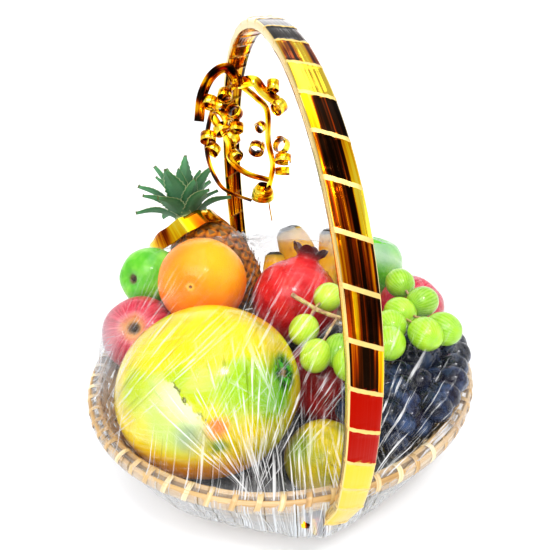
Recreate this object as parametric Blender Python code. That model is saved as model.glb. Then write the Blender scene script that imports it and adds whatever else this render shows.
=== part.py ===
"""Fruit gift basket: a woven cane bowl with a foil-wrapped hoop handle, heaped with fruit.

Metres, +Z up. The origin is the centre of the underside of the bowl. The hoop stands in
the YZ plane with its near leg at -Y, and +X is to the right of a viewer in front.
"""
import math
import random

import bpy
import bmesh
from mathutils import Matrix, Vector, noise

# Bowl
RIM_RADIUS = 0.159
BOWL_HEIGHT = 0.075
BASE_RADIUS = 0.113
WALL = 0.005
FLOOR = 0.0045
ROLL_RADIUS = 0.0055
STAKES = 23
WEAVER_ROWS = 6
WEAVE_RELIEF = 0.0012

# Hoop handle
HOOP_HALF_SPAN = 0.184
HOOP_BELLY_HEIGHT = 0.169
HOOP_RISE = 0.160
HOOP_DROP = 0.220
HOOP_FOOT_HEIGHT = 0.041
HOOP_WIDTH = 0.0175
HOOP_THICKNESS = 0.007
BAND_PITCH = 0.0235
BAND_WIDTH = 0.003
BAND_RELIEF = 0.0004
BAND_SLANT = 0.45
FOOT_LEAN = 0.25

# Fruit: centre and size of each piece
PAPAYA_CENTRE = Vector((-0.0662, -0.0519, 0.087))
PAPAYA_AXIS = Vector((0.76, -0.51, 0.41))
PAPAYA_RADIUS = 0.0620
PAPAYA_HALF_LENGTH = 0.071
ORANGE_CENTRE = Vector((-0.055, 0.0372, 0.1331))
ORANGE_RADIUS = 0.038
MANDARIN_CENTRE = Vector((0.009, -0.095, 0.039))
MANDARIN_RADIUS = 0.029
PINEAPPLE_CENTRE = Vector((-0.035, 0.119, 0.108))
PINEAPPLE_AXIS = Vector((-0.38, 0.60, 0.70)).normalized()
PINEAPPLE_RADIUS = 0.040
PINEAPPLE_HALF_LENGTH = 0.051
CROWN_AXIS = Vector((-0.05, 0.50, 0.865)).normalized()
BAND_RADIUS = 0.0415
BAND_HEIGHT = 0.016
APPLES = {
    "green_apple_left": ((-0.099, 0.092, 0.120), 0.029, (-0.60, -0.60, 0.30)),
    "red_apple_left": ((-0.114, 0.039, 0.091), 0.033, (-0.10, -0.75, 0.65)),
    "green_apple_right": ((0.118, 0.072, 0.107), 0.031, (0.35, 0.10, 0.93)),
    "red_apple_right": ((0.125, 0.002, 0.093), 0.029, (0.80, 0.20, 0.55)),
}
POMEGRANATES = {
    "pomegranate_top": ((0.026, 0.034, 0.102), 0.040, (0.40, 0.25, 0.88)),
    "pomegranate_low": ((0.033, -0.029, 0.053), 0.037, (0.95, 0.10, 0.00)),
}
BANANAS = {
    "banana_left": ((0.016, 0.088, 0.062), (0.023, 0.100, 0.096), (0.026, 0.110, 0.121), 0.013),
    "banana_middle": ((0.046, 0.098, 0.062), (0.0545, 0.116, 0.103), (0.045, 0.130, 0.139), 0.0195),
    "banana_right": ((0.074, 0.090, 0.062), (0.090, 0.113, 0.100), (0.089, 0.121, 0.134), 0.0150),
}
GRAPE_RADIUS = 0.0118
DARK_GRAPE_RADIUS = 0.0100
GREEN_GRAPES = [
    (0.042, -0.013, 0.126), (0.0145, -0.034, 0.112), (0.015, -0.062, 0.106),
    (0.033, -0.061, 0.106), (0.033, -0.084, 0.110), (0.060, -0.088, 0.124),
    (0.086, -0.053, 0.125), (0.106, -0.050, 0.129), (0.101, -0.022, 0.133),
    (0.086, -0.091, 0.128), (0.101, -0.089, 0.128), (0.070, -0.070, 0.126),
]
GREEN_STALK = [
    (0.012, -0.010, 0.132), (0.030, -0.030, 0.124), (0.050, -0.050, 0.122),
    (0.072, -0.062, 0.124), (0.092, -0.062, 0.127), (0.104, -0.042, 0.131),
]
DARK_HEAP_RADIUS = 0.108
DARK_HEAP_HEIGHT = 0.074
DARK_HEAP_GIRTH = 0.022
DARK_HEAP_SWEEP = (math.radians(-70), math.radians(-24))
BED_HEIGHT = 0.044
BED_CLEARANCE = 0.003

# Clear film, stretched over the heap from the rim's shoulder, open at the pineapple's neck
FILM_THICKNESS = 0.0008
FILM_CLEARANCE = 0.0018
FILM_RING_RADIUS = 0.1581
FILM_RING_HEIGHT = 0.0740
FILM_NECK_RADIUS = 0.0505
FILM_NECK_SHIFT = 0.005

# Foil ribbon, tied round the far leg; x and z of each curl in the plane it hangs in
RIBBON_PLANE = 0.108
RIBBON_KNOT = Vector((0.0, RIBBON_PLANE, 0.289))
RIBBON_THICKNESS = 0.001

for old in list(bpy.data.objects):
    bpy.data.objects.remove(old, do_unlink=True)


def surface(name, colour, roughness, metallic=0.0):
    """A plain Principled material with one colour."""
    material = bpy.data.materials.new(name)
    material.use_nodes = True
    shader = material.node_tree.nodes["Principled BSDF"]
    shader.inputs["Base Color"].default_value = (*colour, 1.0)
    shader.inputs["Roughness"].default_value = roughness
    shader.inputs["Metallic"].default_value = metallic
    return material


CANE = surface("cane", (0.62, 0.47, 0.27), 0.7)
GOLD_FOIL = surface("gold foil", (0.85, 0.55, 0.10), 0.15, 1.0)
PAPAYA_SKIN = surface("papaya skin", (0.78, 0.76, 0.06), 0.35)
ORANGE_PEEL = surface("orange peel", (0.98, 0.42, 0.02), 0.4)
MANDARIN_PEEL = surface("mandarin peel", (0.75, 0.62, 0.05), 0.4)
GREEN_APPLE_SKIN = surface("green apple skin", (0.32, 0.66, 0.10), 0.3)
RED_APPLE_SKIN = surface("red apple skin", (0.66, 0.05, 0.08), 0.3)
POMEGRANATE_RIND = surface("pomegranate rind", (0.62, 0.03, 0.03), 0.35)
PINEAPPLE_RIND = surface("pineapple rind", (0.30, 0.13, 0.04), 0.6)
LEAF_GREEN = surface("leaf green", (0.06, 0.24, 0.08), 0.5)
BANANA_SKIN = surface("banana skin", (0.90, 0.58, 0.05), 0.45)
GREEN_GRAPE_SKIN = surface("green grape skin", (0.48, 0.66, 0.06), 0.25)
DARK_GRAPE_SKIN = surface("dark grape skin", (0.02, 0.025, 0.06), 0.35)
DARK_TISSUE = surface("dark tissue", (0.015, 0.015, 0.02), 0.8)
CLEAR_FILM = surface("clear film", (0.93, 0.96, 1.0), 0.1)
CLEAR_FILM.node_tree.nodes["Principled BSDF"].inputs["Alpha"].default_value = 0.2


def stand(bm, name, material, place=(0, 0, 0), axis=(0, 0, 1)):
    """Make the object of a bmesh, with its own +Z along axis and its origin at place."""
    mesh = bpy.data.meshes.new(name)
    bm.to_mesh(mesh)
    bm.free()
    mesh.materials.append(material)
    mesh.shade_smooth()
    mesh.set_sharp_from_angle(angle=math.radians(50))
    piece = bpy.data.objects.new(name, mesh)
    bpy.context.scene.collection.objects.link(piece)
    piece.location = place
    piece.rotation_mode = "QUATERNION"
    piece.rotation_quaternion = Vector((0, 0, 1)).rotation_difference(Vector(axis))
    return piece


def turned(profile, segments):
    """Spin a profile of (radius, height) points, axis to axis, into a closed solid."""
    bm = bmesh.new()
    verts = [bm.verts.new((radius, 0, height)) for radius, height in profile]
    edges = [bm.edges.new(pair) for pair in zip(verts, verts[1:])]
    bmesh.ops.spin(bm, geom=verts + edges, cent=(0, 0, 0), axis=(0, 0, 1),
                   angle=math.tau, steps=segments, use_merge=True)
    bmesh.ops.remove_doubles(bm, verts=bm.verts, dist=1e-6)
    bmesh.ops.recalc_face_normals(bm, faces=bm.faces)
    return bm


def ball_profile(radius_at, rings):
    """Profile of a ball from its south pole to its north pole, radius_at(latitude)."""
    latitudes = [math.pi * (ring / rings - 0.5) for ring in range(rings + 1)]
    points = []
    for latitude in latitudes:
        radius = radius_at(latitude)
        across = radius * math.cos(latitude) if abs(latitude) < math.pi / 2 - 1e-6 else 0.0
        points.append((across, radius * math.sin(latitude)))
    return points


def swept(stations):
    """Extrude a face through stations, each a list with as many points."""
    bm = bmesh.new()
    face = bm.faces.new([bm.verts.new(point) for point in stations[0]])
    for number, station in enumerate(stations[1:]):
        result = bmesh.ops.extrude_face_region(bm, geom=[face])
        if number and face.is_valid:
            bmesh.ops.delete(bm, geom=[face], context="FACES_ONLY")
        face = next(item for item in result["geom"] if isinstance(item, bmesh.types.BMFace))
        for vert, point in zip(face.verts, station):
            vert.co = point
    bmesh.ops.recalc_face_normals(bm, faces=bm.faces)
    return bm


def smooth_path(points, per_span):
    """Points on the Catmull-Rom curve through the given points."""
    points = [Vector(point) for point in points]
    ends = [2 * points[0] - points[1], *points, 2 * points[-1] - points[-2]]
    path = []
    for before, here, there, after in zip(ends, ends[1:], ends[2:], ends[3:]):
        for step in range(per_span):
            t = step / per_span
            path.append(0.5 * (2 * here + (there - before) * t
                               + (2 * before - 5 * here + 4 * there - after) * t * t
                               + (3 * here - before - 3 * there + after) * t ** 3))
    path.append(points[-1])
    return path


def path_stations(path, section, width_axis=None):
    """Place section(fraction), a list of (across, deep) points, along a path."""
    stations = []
    across = Vector(width_axis) if width_axis else None
    for index, point in enumerate(path):
        after = path[min(index + 1, len(path) - 1)]
        before = path[max(index - 1, 0)]
        along = (after - before).normalized()
        if across is None:
            across = along.orthogonal()
        across = (across - across.dot(along) * along).normalized()
        deep = along.cross(across)
        stations.append([point + across * a + deep * d
                         for a, d in section(index / (len(path) - 1))])
    return stations


def keep_largest(mesh):
    """Drop the loose scraps and sealed hollows that a union can leave."""
    bm = bmesh.new()
    bm.from_mesh(mesh)
    islands = []
    unseen = set(bm.verts)
    while unseen:
        island = []
        edge_of_island = [unseen.pop()]
        while edge_of_island:
            vert = edge_of_island.pop()
            island.append(vert)
            for edge in vert.link_edges:
                other = edge.other_vert(vert)
                if other in unseen:
                    unseen.remove(other)
                    edge_of_island.append(other)
        islands.append(island)
    islands.sort(key=len)
    scraps = [vert for island in islands[:-1] for vert in island]
    bmesh.ops.delete(bm, geom=scraps, context="VERTS")
    bm.to_mesh(mesh)
    bm.free()


def fuse(base, pieces):
    """Join the pieces to the base by one Boolean union, and remove them."""
    group = bpy.data.collections.new(base.name + "_pieces")
    bpy.context.scene.collection.children.link(group)
    for piece in pieces:
        bpy.context.scene.collection.objects.unlink(piece)
        group.objects.link(piece)
    union = base.modifiers.new("union", "BOOLEAN")
    union.operation = "UNION"
    union.operand_type = "COLLECTION"
    union.collection = group
    union.solver = "MANIFOLD"
    bpy.context.view_layer.update()
    whole = bpy.data.meshes.new_from_object(
        base.evaluated_get(bpy.context.evaluated_depsgraph_get()))
    base.modifiers.remove(union)
    keep_largest(whole)
    base.data = whole
    for piece in pieces:
        bpy.data.objects.remove(piece, do_unlink=True)
    bpy.data.collections.remove(group)
    return base


def wall_radius(height):
    """Outer radius of the bowl's flaring wall."""
    roll_height = BOWL_HEIGHT - ROLL_RADIUS
    return BASE_RADIUS + (RIM_RADIUS - ROLL_RADIUS - BASE_RADIUS) * height / roll_height


def make_bowl():
    """The woven bowl: weavers over and under the stakes outside, a rolled rim on top."""
    roll = Vector((RIM_RADIUS - ROLL_RADIUS, BOWL_HEIGHT - ROLL_RADIUS))
    wall_top = roll.y - ROLL_RADIUS
    rows = [wall_top * row / WEAVER_ROWS for row in range(WEAVER_ROWS + 1)]
    profile = [(0.0, 0.0)] + [(wall_radius(height), height) for height in rows]
    for turn in (-45, 0, 45, 90, 135, 180):
        angle = math.radians(turn)
        profile.append((roll.x + ROLL_RADIUS * math.cos(angle),
                        roll.y + ROLL_RADIUS * math.sin(angle)))
    profile += [(wall_radius(height) - WALL, height) for height in (wall_top, FLOOR)]
    profile.append((0.0, FLOOR))
    bm = turned(profile, 2 * STAKES)
    for vert in bm.verts:
        radius = math.hypot(vert.co.x, vert.co.y)
        outside = abs(radius - wall_radius(vert.co.z)) < 1e-4
        if outside and 1e-4 < vert.co.z < wall_top + 1e-4:
            row = round(vert.co.z / wall_top * WEAVER_ROWS)
            stake = round(math.atan2(vert.co.y, vert.co.x) / math.tau * 2 * STAKES)
            lift = WEAVE_RELIEF if (row + stake) % 2 else -WEAVE_RELIEF / 2
            vert.co.xy *= (radius + lift) / radius
    return stand(bm, "basket", CANE)


def hoop_point(turn):
    """Point of the hoop's middle line; turn runs from the near foot over the top."""
    reach = HOOP_RISE if math.sin(turn) > 0 else HOOP_DROP
    return Vector((0, -HOOP_HALF_SPAN * math.cos(turn),
                   HOOP_BELLY_HEIGHT + reach * math.sin(turn)))


def hoop_path(samples=360):
    """The middle line as points with the length run so far."""
    foot = math.asin((HOOP_FOOT_HEIGHT - HOOP_BELLY_HEIGHT) / HOOP_DROP)
    turns = [foot + (math.pi - 2 * foot) * step / samples for step in range(samples + 1)]
    path = [(0.0, hoop_point(turns[0]))]
    for turn in turns[1:]:
        point = hoop_point(turn)
        path.append((path[-1][0] + (point - path[-1][1]).length, point))
    return path


def along_hoop(path, run):
    """Point and direction of the hoop at a length from its near foot."""
    run = min(max(run, 0.0), path[-1][0])
    index = 1
    while path[index][0] < run:
        index += 1
    start, end = path[index - 1], path[index]
    share = (run - start[0]) / (end[0] - start[0])
    point = start[1].lerp(end[1], share)
    lean = max(0.0, BOWL_HEIGHT - point.z) * FOOT_LEAN
    point.x = lean if point.y > 0 else -lean
    return point, (end[1] - start[1]).normalized()


def make_handle():
    """The flat hoop, wrapped in foil, with thin slanting bands wound over it."""
    path = hoop_path()
    length = path[-1][0]
    half = HOOP_WIDTH / 2
    deep = HOOP_THICKNESS / 2
    section = [(-half, -deep), (half, -deep), (half, deep), (-half, deep)]
    margin = half * BAND_SLANT
    runs = [(margin, 0.0)]
    centre = margin + BAND_PITCH / 2
    while centre + BAND_WIDTH < length - margin:
        edge = BAND_WIDTH / 2
        step = BAND_RELIEF
        runs += [(centre - edge - step, 0.0), (centre - edge, BAND_RELIEF),
                 (centre + edge, BAND_RELIEF), (centre + edge + step, 0.0)]
        centre += BAND_PITCH
    runs.append((length - margin, 0.0))
    stations = []
    for run, relief in runs:
        station = []
        for across, out in section:
            point, along = along_hoop(path, run - across * BAND_SLANT)
            outward = along.cross(Vector((1, 0, 0))).normalized()
            grown = Vector((across, out)) + Vector((across, out)).normalized() * relief
            station.append(point + Vector((grown.x, 0, 0)) - outward * grown.y)
        stations.append(station)
    hoop = stand(swept(stations), "handle", GOLD_FOIL)
    knots = []
    for side in (-1, 1):
        bm = bmesh.new()
        bmesh.ops.create_icosphere(bm, subdivisions=2, radius=1.0)
        for vert in bm.verts:
            crease = 1 + 0.16 * noise.noise(vert.co * 1.9 + Vector((side, 0, 0)))
            vert.co = Vector((vert.co.x * 0.009, vert.co.y * 0.006, vert.co.z * 0.008)) * crease
        knots.append(stand(bm, "tie", GOLD_FOIL, (side * 0.013, side * 0.1535, 0.049)))
    return fuse(hoop, knots)


def make_papaya():
    """A short, heavy papaya: blunt blossom end, a ribbed shoulder and a sunk stem scar."""
    def radius_at(latitude):
        long_part = math.sin(latitude) / PAPAYA_HALF_LENGTH
        wide_part = math.cos(latitude) / PAPAYA_RADIUS
        radius = 1 / math.hypot(long_part, wide_part)
        if latitude > math.radians(70):
            radius -= 0.004 * (math.degrees(latitude) - 70) / 20
        return radius
    bm = turned(ball_profile(radius_at, 12), 19)
    for vert in bm.verts:
        turn = math.atan2(vert.co.y, vert.co.x)
        ribs = 1 + 0.012 * math.cos(5 * turn)
        vert.co.xy *= ribs
    return stand(bm, "papaya", PAPAYA_SKIN, PAPAYA_CENTRE, PAPAYA_AXIS)


def make_orange():
    """A round orange with a small dimple at its stem end."""
    def radius_at(latitude):
        dimple = max(0.0, (math.degrees(latitude) - 72) / 18)
        return ORANGE_RADIUS * (1 - 0.05 * dimple)
    return stand(turned(ball_profile(radius_at, 12), 18), "orange", ORANGE_PEEL,
                 ORANGE_CENTRE, (-0.35, -0.80, 0.48))


def make_mandarin():
    """A squat mandarin with a puckered neck."""
    def radius_at(latitude):
        squash = 1 - 0.10 * abs(math.sin(latitude)) ** 3
        neck = 0.10 * max(0.0, (math.degrees(latitude) - 62) / 28)
        return MANDARIN_RADIUS * (squash + neck)
    return stand(turned(ball_profile(radius_at, 9), 14), "mandarin", MANDARIN_PEEL,
                 MANDARIN_CENTRE, (-0.2, 0.35, 0.9))


def make_apple(name, centre, radius, axis):
    """An apple: sunk at the calyx, which faces along axis, and deeper at the stalk."""
    profile = [(0.0, -0.72), (0.14, -0.84), (0.42, -0.93), (0.74, -0.70), (0.95, -0.28),
               (0.99, 0.12), (0.86, 0.55), (0.60, 0.84), (0.34, 0.90), (0.12, 0.82), (0.0, 0.74)]
    bm = turned([(across * radius, height * radius) for across, height in profile], 14)
    for vert in bm.verts:
        turn = math.atan2(vert.co.y, vert.co.x)
        share = max(0.0, vert.co.z / radius)
        vert.co.xy *= 1 + 0.03 * share * math.cos(5 * turn)
    skin = GREEN_APPLE_SKIN if name.startswith("green") else RED_APPLE_SKIN
    return stand(bm, name, skin, centre, axis)


def make_pomegranate(name, centre, radius, axis):
    """A pomegranate: faintly five-sided, with the toothed crown of its calyx."""
    def radius_at(latitude):
        return radius * (1 - 0.04 * abs(math.sin(latitude)) ** 2)
    body = [point for point in ball_profile(radius_at, 11) if point[1] < radius * 0.86]
    crown = [(0.30, 0.98), (0.25, 1.06), (0.34, 1.26), (0.22, 1.22), (0.12, 1.00), (0.0, 0.96)]
    profile = body + [(across * radius, height * radius) for across, height in crown]
    bm = turned(profile, 15)
    for vert in bm.verts:
        turn = math.atan2(vert.co.y, vert.co.x)
        if vert.co.z < radius:
            vert.co.xy *= 1 + 0.02 * math.cos(5 * turn)
        elif vert.co.z > radius * 1.15:
            vert.co.z -= radius * 0.10 * (1 - math.cos(5 * turn)) / 2
    return stand(bm, name, POMEGRANATE_RIND, centre, axis)


def make_pineapple():
    """The pineapple's body with its spiral eyes, the crown of leaves and the foil band."""
    columns = 22
    rings = 15

    def radius_at(latitude):
        long_part = abs(math.sin(latitude)) / PINEAPPLE_HALF_LENGTH
        wide_part = math.cos(latitude) / PINEAPPLE_RADIUS
        return 1 / (long_part ** 2.6 + wide_part ** 2.6) ** (1 / 2.6)
    bm = turned(ball_profile(radius_at, rings), columns)
    for vert in bm.verts:
        turn = math.atan2(vert.co.y, vert.co.x)
        row = vert.co.z / PINEAPPLE_HALF_LENGTH * rings / 2
        eye = math.cos(turn * columns / 2) * math.cos(row * math.pi)
        girth = math.hypot(vert.co.x, vert.co.y)
        if girth > 0.012:
            vert.co.xy *= 1 + 0.022 * eye
    stand(bm, "pineapple", PINEAPPLE_RIND, PINEAPPLE_CENTRE, PINEAPPLE_AXIS)

    top = PINEAPPLE_CENTRE + PINEAPPLE_AXIS * (PINEAPPLE_HALF_LENGTH + 0.0045)
    bm = turned([(0.0, 0.0), (0.009, 0.001), (0.012, 0.008), (0.009, 0.018), (0.0, 0.028)], 10)
    crown = stand(bm, "pineapple_crown", LEAF_GREEN, top, CROWN_AXIS)
    turn_to_axis = crown.rotation_quaternion
    leaves = []
    rows = ((6, 84, 0.050, 0.006), (5, 54, 0.058, 0.013), (3, 22, 0.060, 0.019))
    for count, spread, length, height in rows:
        for leaf in range(count):
            turn = math.tau * (leaf + 0.5 * (count % 2)) / count
            out = Vector((math.cos(turn), math.sin(turn), 0))
            up = Vector((0, 0, 1))
            path = [up * height + out * 0.006]
            for step in range(4):
                bend = math.radians(spread) * (0.55 + 0.18 * step)
                heading = up * math.cos(bend) + out * math.sin(bend)
                path.append(path[-1] + heading * length / 4)

            def blade(share):
                half = 0.0095 * (1 - share ** 2.2) + 0.0008
                return [(-half, 0.0014), (0, -0.0012), (half, 0.0014)]
            stations = path_stations(path, blade, up.cross(out))
            placed = [[top + turn_to_axis @ point for point in station] for station in stations]
            leaves.append(stand(swept(placed), "leaf", LEAF_GREEN))
    fuse(crown, leaves)

    loose = Vector((-1, 0, 0)) + PINEAPPLE_AXIS * PINEAPPLE_AXIS.x * -1
    neck = (PINEAPPLE_CENTRE + PINEAPPLE_AXIS * PINEAPPLE_HALF_LENGTH * 0.84
            + loose.normalized() * 0.009)
    half = BAND_HEIGHT / 2
    bm = bmesh.new()
    corners = [(BAND_RADIUS + 0.0025, -half), (BAND_RADIUS + 0.0035, -half),
               (BAND_RADIUS - 0.0015, half), (BAND_RADIUS - 0.0025, half)]
    verts = [bm.verts.new((radius, 0, height)) for radius, height in corners]
    edges = [bm.edges.new((verts[side - 1], verts[side])) for side in range(4)]
    bmesh.ops.spin(bm, geom=verts + edges, cent=(0, 0, 0), axis=(0, 0, 1), angle=math.tau,
                   steps=30, use_merge=True)
    bmesh.ops.remove_doubles(bm, verts=bm.verts, dist=1e-6)
    bmesh.ops.recalc_face_normals(bm, faces=bm.faces)
    stand(bm, "pineapple_band", GOLD_FOIL, neck, PINEAPPLE_AXIS)


def make_banana(name, base, belly, tip, girth):
    """A short, plump finger: blunt dark tip up, thinner end down in the basket."""
    path = smooth_path([base, belly, tip], 5)

    def outline(share):
        radius = banana_radius(girth, share)
        return [(radius * math.cos(math.tau * side / 9), radius * math.sin(math.tau * side / 9))
                for side in range(9)]
    return stand(swept(path_stations(path, outline)), name, BANANA_SKIN)


def grape(centre, radius, sides, stretch, axis=(0, 0, 1)):
    """One grape, slightly longer than it is wide."""
    bm = bmesh.new()
    bmesh.ops.create_uvsphere(bm, u_segments=sides, v_segments=5, radius=radius)
    bmesh.ops.scale(bm, vec=(1, 1, stretch), verts=bm.verts)
    return stand(bm, "grape", GREEN_GRAPE_SKIN, centre, axis)


def stalk_section(radius, sides=6):
    """A round section for stalks."""
    return lambda share: [(radius * math.cos(math.tau * side / sides),
                           radius * math.sin(math.tau * side / sides)) for side in range(sides)]


def make_green_grapes():
    """The loose green bunch that lies across the heap, with its stalks."""
    path = smooth_path(GREEN_STALK, 2)
    bunch = stand(swept(path_stations(path, stalk_section(0.0017))), "green_grapes",
                  GREEN_GRAPE_SKIN)
    pieces = []
    for centre in GREEN_GRAPES:
        centre = Vector(centre)
        root = min(path[1:-1], key=lambda point: (point - centre).length)
        toward = root - centre
        pieces.append(grape(centre, GRAPE_RADIUS, 7, 1.12, toward))
        stations = path_stations([centre, root], stalk_section(0.0012, 5))
        pieces.append(stand(swept(stations), "stalk", GREEN_GRAPE_SKIN))
    return fuse(bunch, pieces)


def dark_heap_point(sweep, offset, height):
    """A point of the dark heap, which follows the bowl's rim."""
    radius = DARK_HEAP_RADIUS + offset
    return Vector((radius * math.cos(sweep), radius * math.sin(sweep),
                   DARK_HEAP_HEIGHT + height))


def make_dark_grapes():
    """The dark bunch heaped inside the rim, to the right of the near leg of the handle."""
    first, last = DARK_HEAP_SWEEP
    path = [dark_heap_point(first + (last - first) * step / 7, 0, 0.006 * step / 7)
            for step in range(8)]

    def core(share):
        radius = DARK_HEAP_GIRTH * (0.55 + 0.45 * math.sin(math.pi * share) ** 0.5)
        return [(radius * math.cos(math.tau * side / 10), radius * math.sin(math.tau * side / 10))
                for side in range(10)]
    bunch = stand(swept(path_stations(path, core)), "dark_grapes", DARK_GRAPE_SKIN)
    rng = random.Random(7)
    rows = [(0.022, -0.002, 6, 0.0, 1.0), (0.018, 0.013, 5, 0.05, 0.96),
            (0.003, 0.018, 6, 0.0, 1.0), (-0.013, 0.013, 3, 0.15, 0.95),
            (0.036, 0.010, 6, 0.30, 1.02)]
    pieces = []
    for offset, height, count, start, end in rows:
        for number in range(count):
            share = start + (end - start) * (number + 0.5 * (rng.random() - 0.5)) / (count - 1)
            sweep = first + (last - first) * min(max(share, 0.0), 1.02)
            place = dark_heap_point(sweep, offset + 0.002 * (rng.random() - 0.5),
                                    height + 0.006 * share)
            pieces.append(grape(place, DARK_GRAPE_RADIUS * (1.0 + 0.1 * rng.random()), 6, 1.05))
    return fuse(bunch, pieces)


def resting_balls():
    """Every fruit above the bed as balls (centre, radius)."""
    balls = [(PAPAYA_CENTRE + PAPAYA_AXIS.normalized() * shift, PAPAYA_RADIUS)
             for shift in (-0.008, 0.0, 0.008)]
    balls += [(ORANGE_CENTRE, ORANGE_RADIUS), (MANDARIN_CENTRE, MANDARIN_RADIUS)]
    balls += [(Vector(centre), radius) for centre, radius, axis in APPLES.values()]
    for centre, radius, axis in POMEGRANATES.values():
        balls.append((Vector(centre), radius))
        balls.append((Vector(centre) + Vector(axis).normalized() * radius * 1.1, radius * 0.46))
    balls += [(PINEAPPLE_CENTRE + PINEAPPLE_AXIS * shift, PINEAPPLE_RADIUS)
              for shift in (-0.022, -0.011, 0.0)]
    balls += [(Vector(base), girth) for base, belly, tip, girth in BANANAS.values()]
    first, last = DARK_HEAP_SWEEP
    balls += [(dark_heap_point(first + (last - first) * step / 9, 0.0, 0.0), 0.034)
              for step in range(10)]
    return balls


def bed_height(x, y, balls):
    """Height of the crumpled bed, pressed down wherever a fruit sits."""
    height = BED_HEIGHT + 0.004 * noise.noise(Vector((x * 45, y * 45, 0.3)))
    contact = math.radians(60)
    for centre, radius in balls:
        clear = radius + BED_CLEARANCE
        away = math.hypot(x - centre.x, y - centre.y)
        if away < clear * math.sin(contact):
            limit = centre.z - math.sqrt(clear * clear - away * away)
        else:
            rise = (away - clear * math.sin(contact)) * math.tan(contact)
            limit = centre.z - clear * math.cos(contact) + rise
        height = min(height, limit)
    return max(height, FLOOR + 0.0015)


def make_bed():
    """Dark tissue that fills the bowl under the fruit."""
    rings = 9
    sides = 30
    gap = 0.0006
    floor = FLOOR + gap
    profile = [(0.0, floor), (wall_radius(floor) - WALL - gap, floor)]
    edge = wall_radius(0.030) - WALL - gap
    profile += [(edge * (1 - ring / rings), 0.030) for ring in range(rings + 1)]
    bm = turned(profile, sides)
    balls = resting_balls()
    for vert in bm.verts:
        if vert.co.z > 0.029:
            top = bed_height(vert.co.x, vert.co.y, balls)
            girth = math.hypot(vert.co.x, vert.co.y)
            if girth > edge - 1e-5:
                top = min(top, 0.030)
                vert.co.xy *= (wall_radius(top) - WALL - gap) / girth
            vert.co.z = top
    bmesh.ops.triangulate(bm, faces=bm.faces)
    return stand(bm, "bed", DARK_TISSUE)


def banana_radius(girth, share):
    """Girth of a banana along its length: plump, with a blunt tip."""
    plump = math.sin(math.pi * (0.16 + 0.70 * share)) ** 0.6
    return girth * (plump if share < 0.999 else 0.38)


def wrapped_balls():
    """Everything that the film is stretched over, as balls (centre, radius)."""
    balls = resting_balls()
    balls += [(PINEAPPLE_CENTRE + PINEAPPLE_AXIS * shift, PINEAPPLE_RADIUS + 0.0015)
              for shift in (-0.018, 0.0, 0.010)]
    for base, belly, tip, girth in BANANAS.values():
        path = smooth_path([base, belly, tip], 5)
        for step in range(5, len(path)):
            balls.append((path[step], banana_radius(girth, step / (len(path) - 1))))
    balls += [(Vector(centre), GRAPE_RADIUS * 1.12) for centre in GREEN_GRAPES]
    balls.append((Vector(GREEN_STALK[0]), 0.003))
    first, last = DARK_HEAP_SWEEP
    balls += [(dark_heap_point(first + (last - first) * step / 6, 0.036, 0.013),
               DARK_GRAPE_RADIUS * 1.2) for step in range(1, 7)]
    return balls


def make_film():
    """The film over the heap: the hull of the fruit above the rim, open at the neck."""
    bm = bmesh.new()
    for centre, radius in wrapped_balls():
        rounds, inscribed = (3, 0.98) if radius > 0.02 else (2, 0.93)
        bmesh.ops.create_icosphere(bm, subdivisions=rounds,
                                   radius=(radius + FILM_CLEARANCE) / inscribed,
                                   matrix=Matrix.Translation(centre))
    bmesh.ops.create_circle(bm, segments=44, radius=FILM_RING_RADIUS,
                            matrix=Matrix.Translation((0, 0, FILM_RING_HEIGHT)))
    bmesh.ops.delete(bm, geom=bm.edges[:], context="EDGES_FACES")
    low = [vert for vert in bm.verts if vert.co.z < FILM_RING_HEIGHT - 1e-6]
    bmesh.ops.delete(bm, geom=low, context="VERTS")
    bmesh.ops.remove_doubles(bm, verts=bm.verts, dist=0.001)
    hull = bmesh.ops.convex_hull(bm, input=bm.verts)
    inside = {item for item in hull["geom_interior"] + hull["geom_unused"]
              if isinstance(item, bmesh.types.BMVert)}
    bmesh.ops.delete(bm, geom=list(inside), context="VERTS")
    under = [face for face in bm.faces
             if all(vert.co.z < FILM_RING_HEIGHT + 1e-5 for vert in face.verts)]
    bmesh.ops.delete(bm, geom=under, context="FACES")
    bmesh.ops.recalc_face_normals(bm, faces=bm.faces)
    if sum(face.normal.z * face.calc_area() for face in bm.faces) < 0:
        bmesh.ops.reverse_faces(bm, faces=bm.faces)
    film = stand(bm, "film", CLEAR_FILM)
    wall = film.modifiers.new("wall", "SOLIDIFY")
    wall.thickness = FILM_THICKNESS
    wall.offset = 1.0

    neck = bmesh.new()
    bmesh.ops.create_cone(neck, cap_ends=True, segments=20, radius1=FILM_NECK_RADIUS,
                          radius2=FILM_NECK_RADIUS, depth=0.10)
    middle = PINEAPPLE_CENTRE + PINEAPPLE_AXIS * 0.055 + Vector((-FILM_NECK_SHIFT, 0, 0))
    cutter = stand(neck, "neck", CLEAR_FILM, middle, PINEAPPLE_AXIS)
    hole = film.modifiers.new("hole", "BOOLEAN")
    hole.operation = "DIFFERENCE"
    hole.object = cutter
    bpy.context.view_layer.update()
    whole = bpy.data.meshes.new_from_object(
        film.evaluated_get(bpy.context.evaluated_depsgraph_get()))
    film.modifiers.clear()
    keep_largest(whole)
    film.data = whole
    bpy.data.objects.remove(cutter, do_unlink=True)
    return film


def flat_section(width):
    """The section of a ribbon of this width."""
    half = width / 2
    deep = RIBBON_THICKNESS / 2
    return lambda share: [(-half, -deep), (half, -deep), (half, deep), (-half, deep)]


def ribbon_run(points, width, width_axis):
    """A stretch of ribbon through (x, depth, z) points, its width along width_axis."""
    placed = [Vector((x, RIBBON_PLANE + depth, z)) for x, depth, z in points]
    path = smooth_path(placed, 2)
    return stand(swept(path_stations(path, flat_section(width), width_axis)), "run", GOLD_FOIL)


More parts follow.
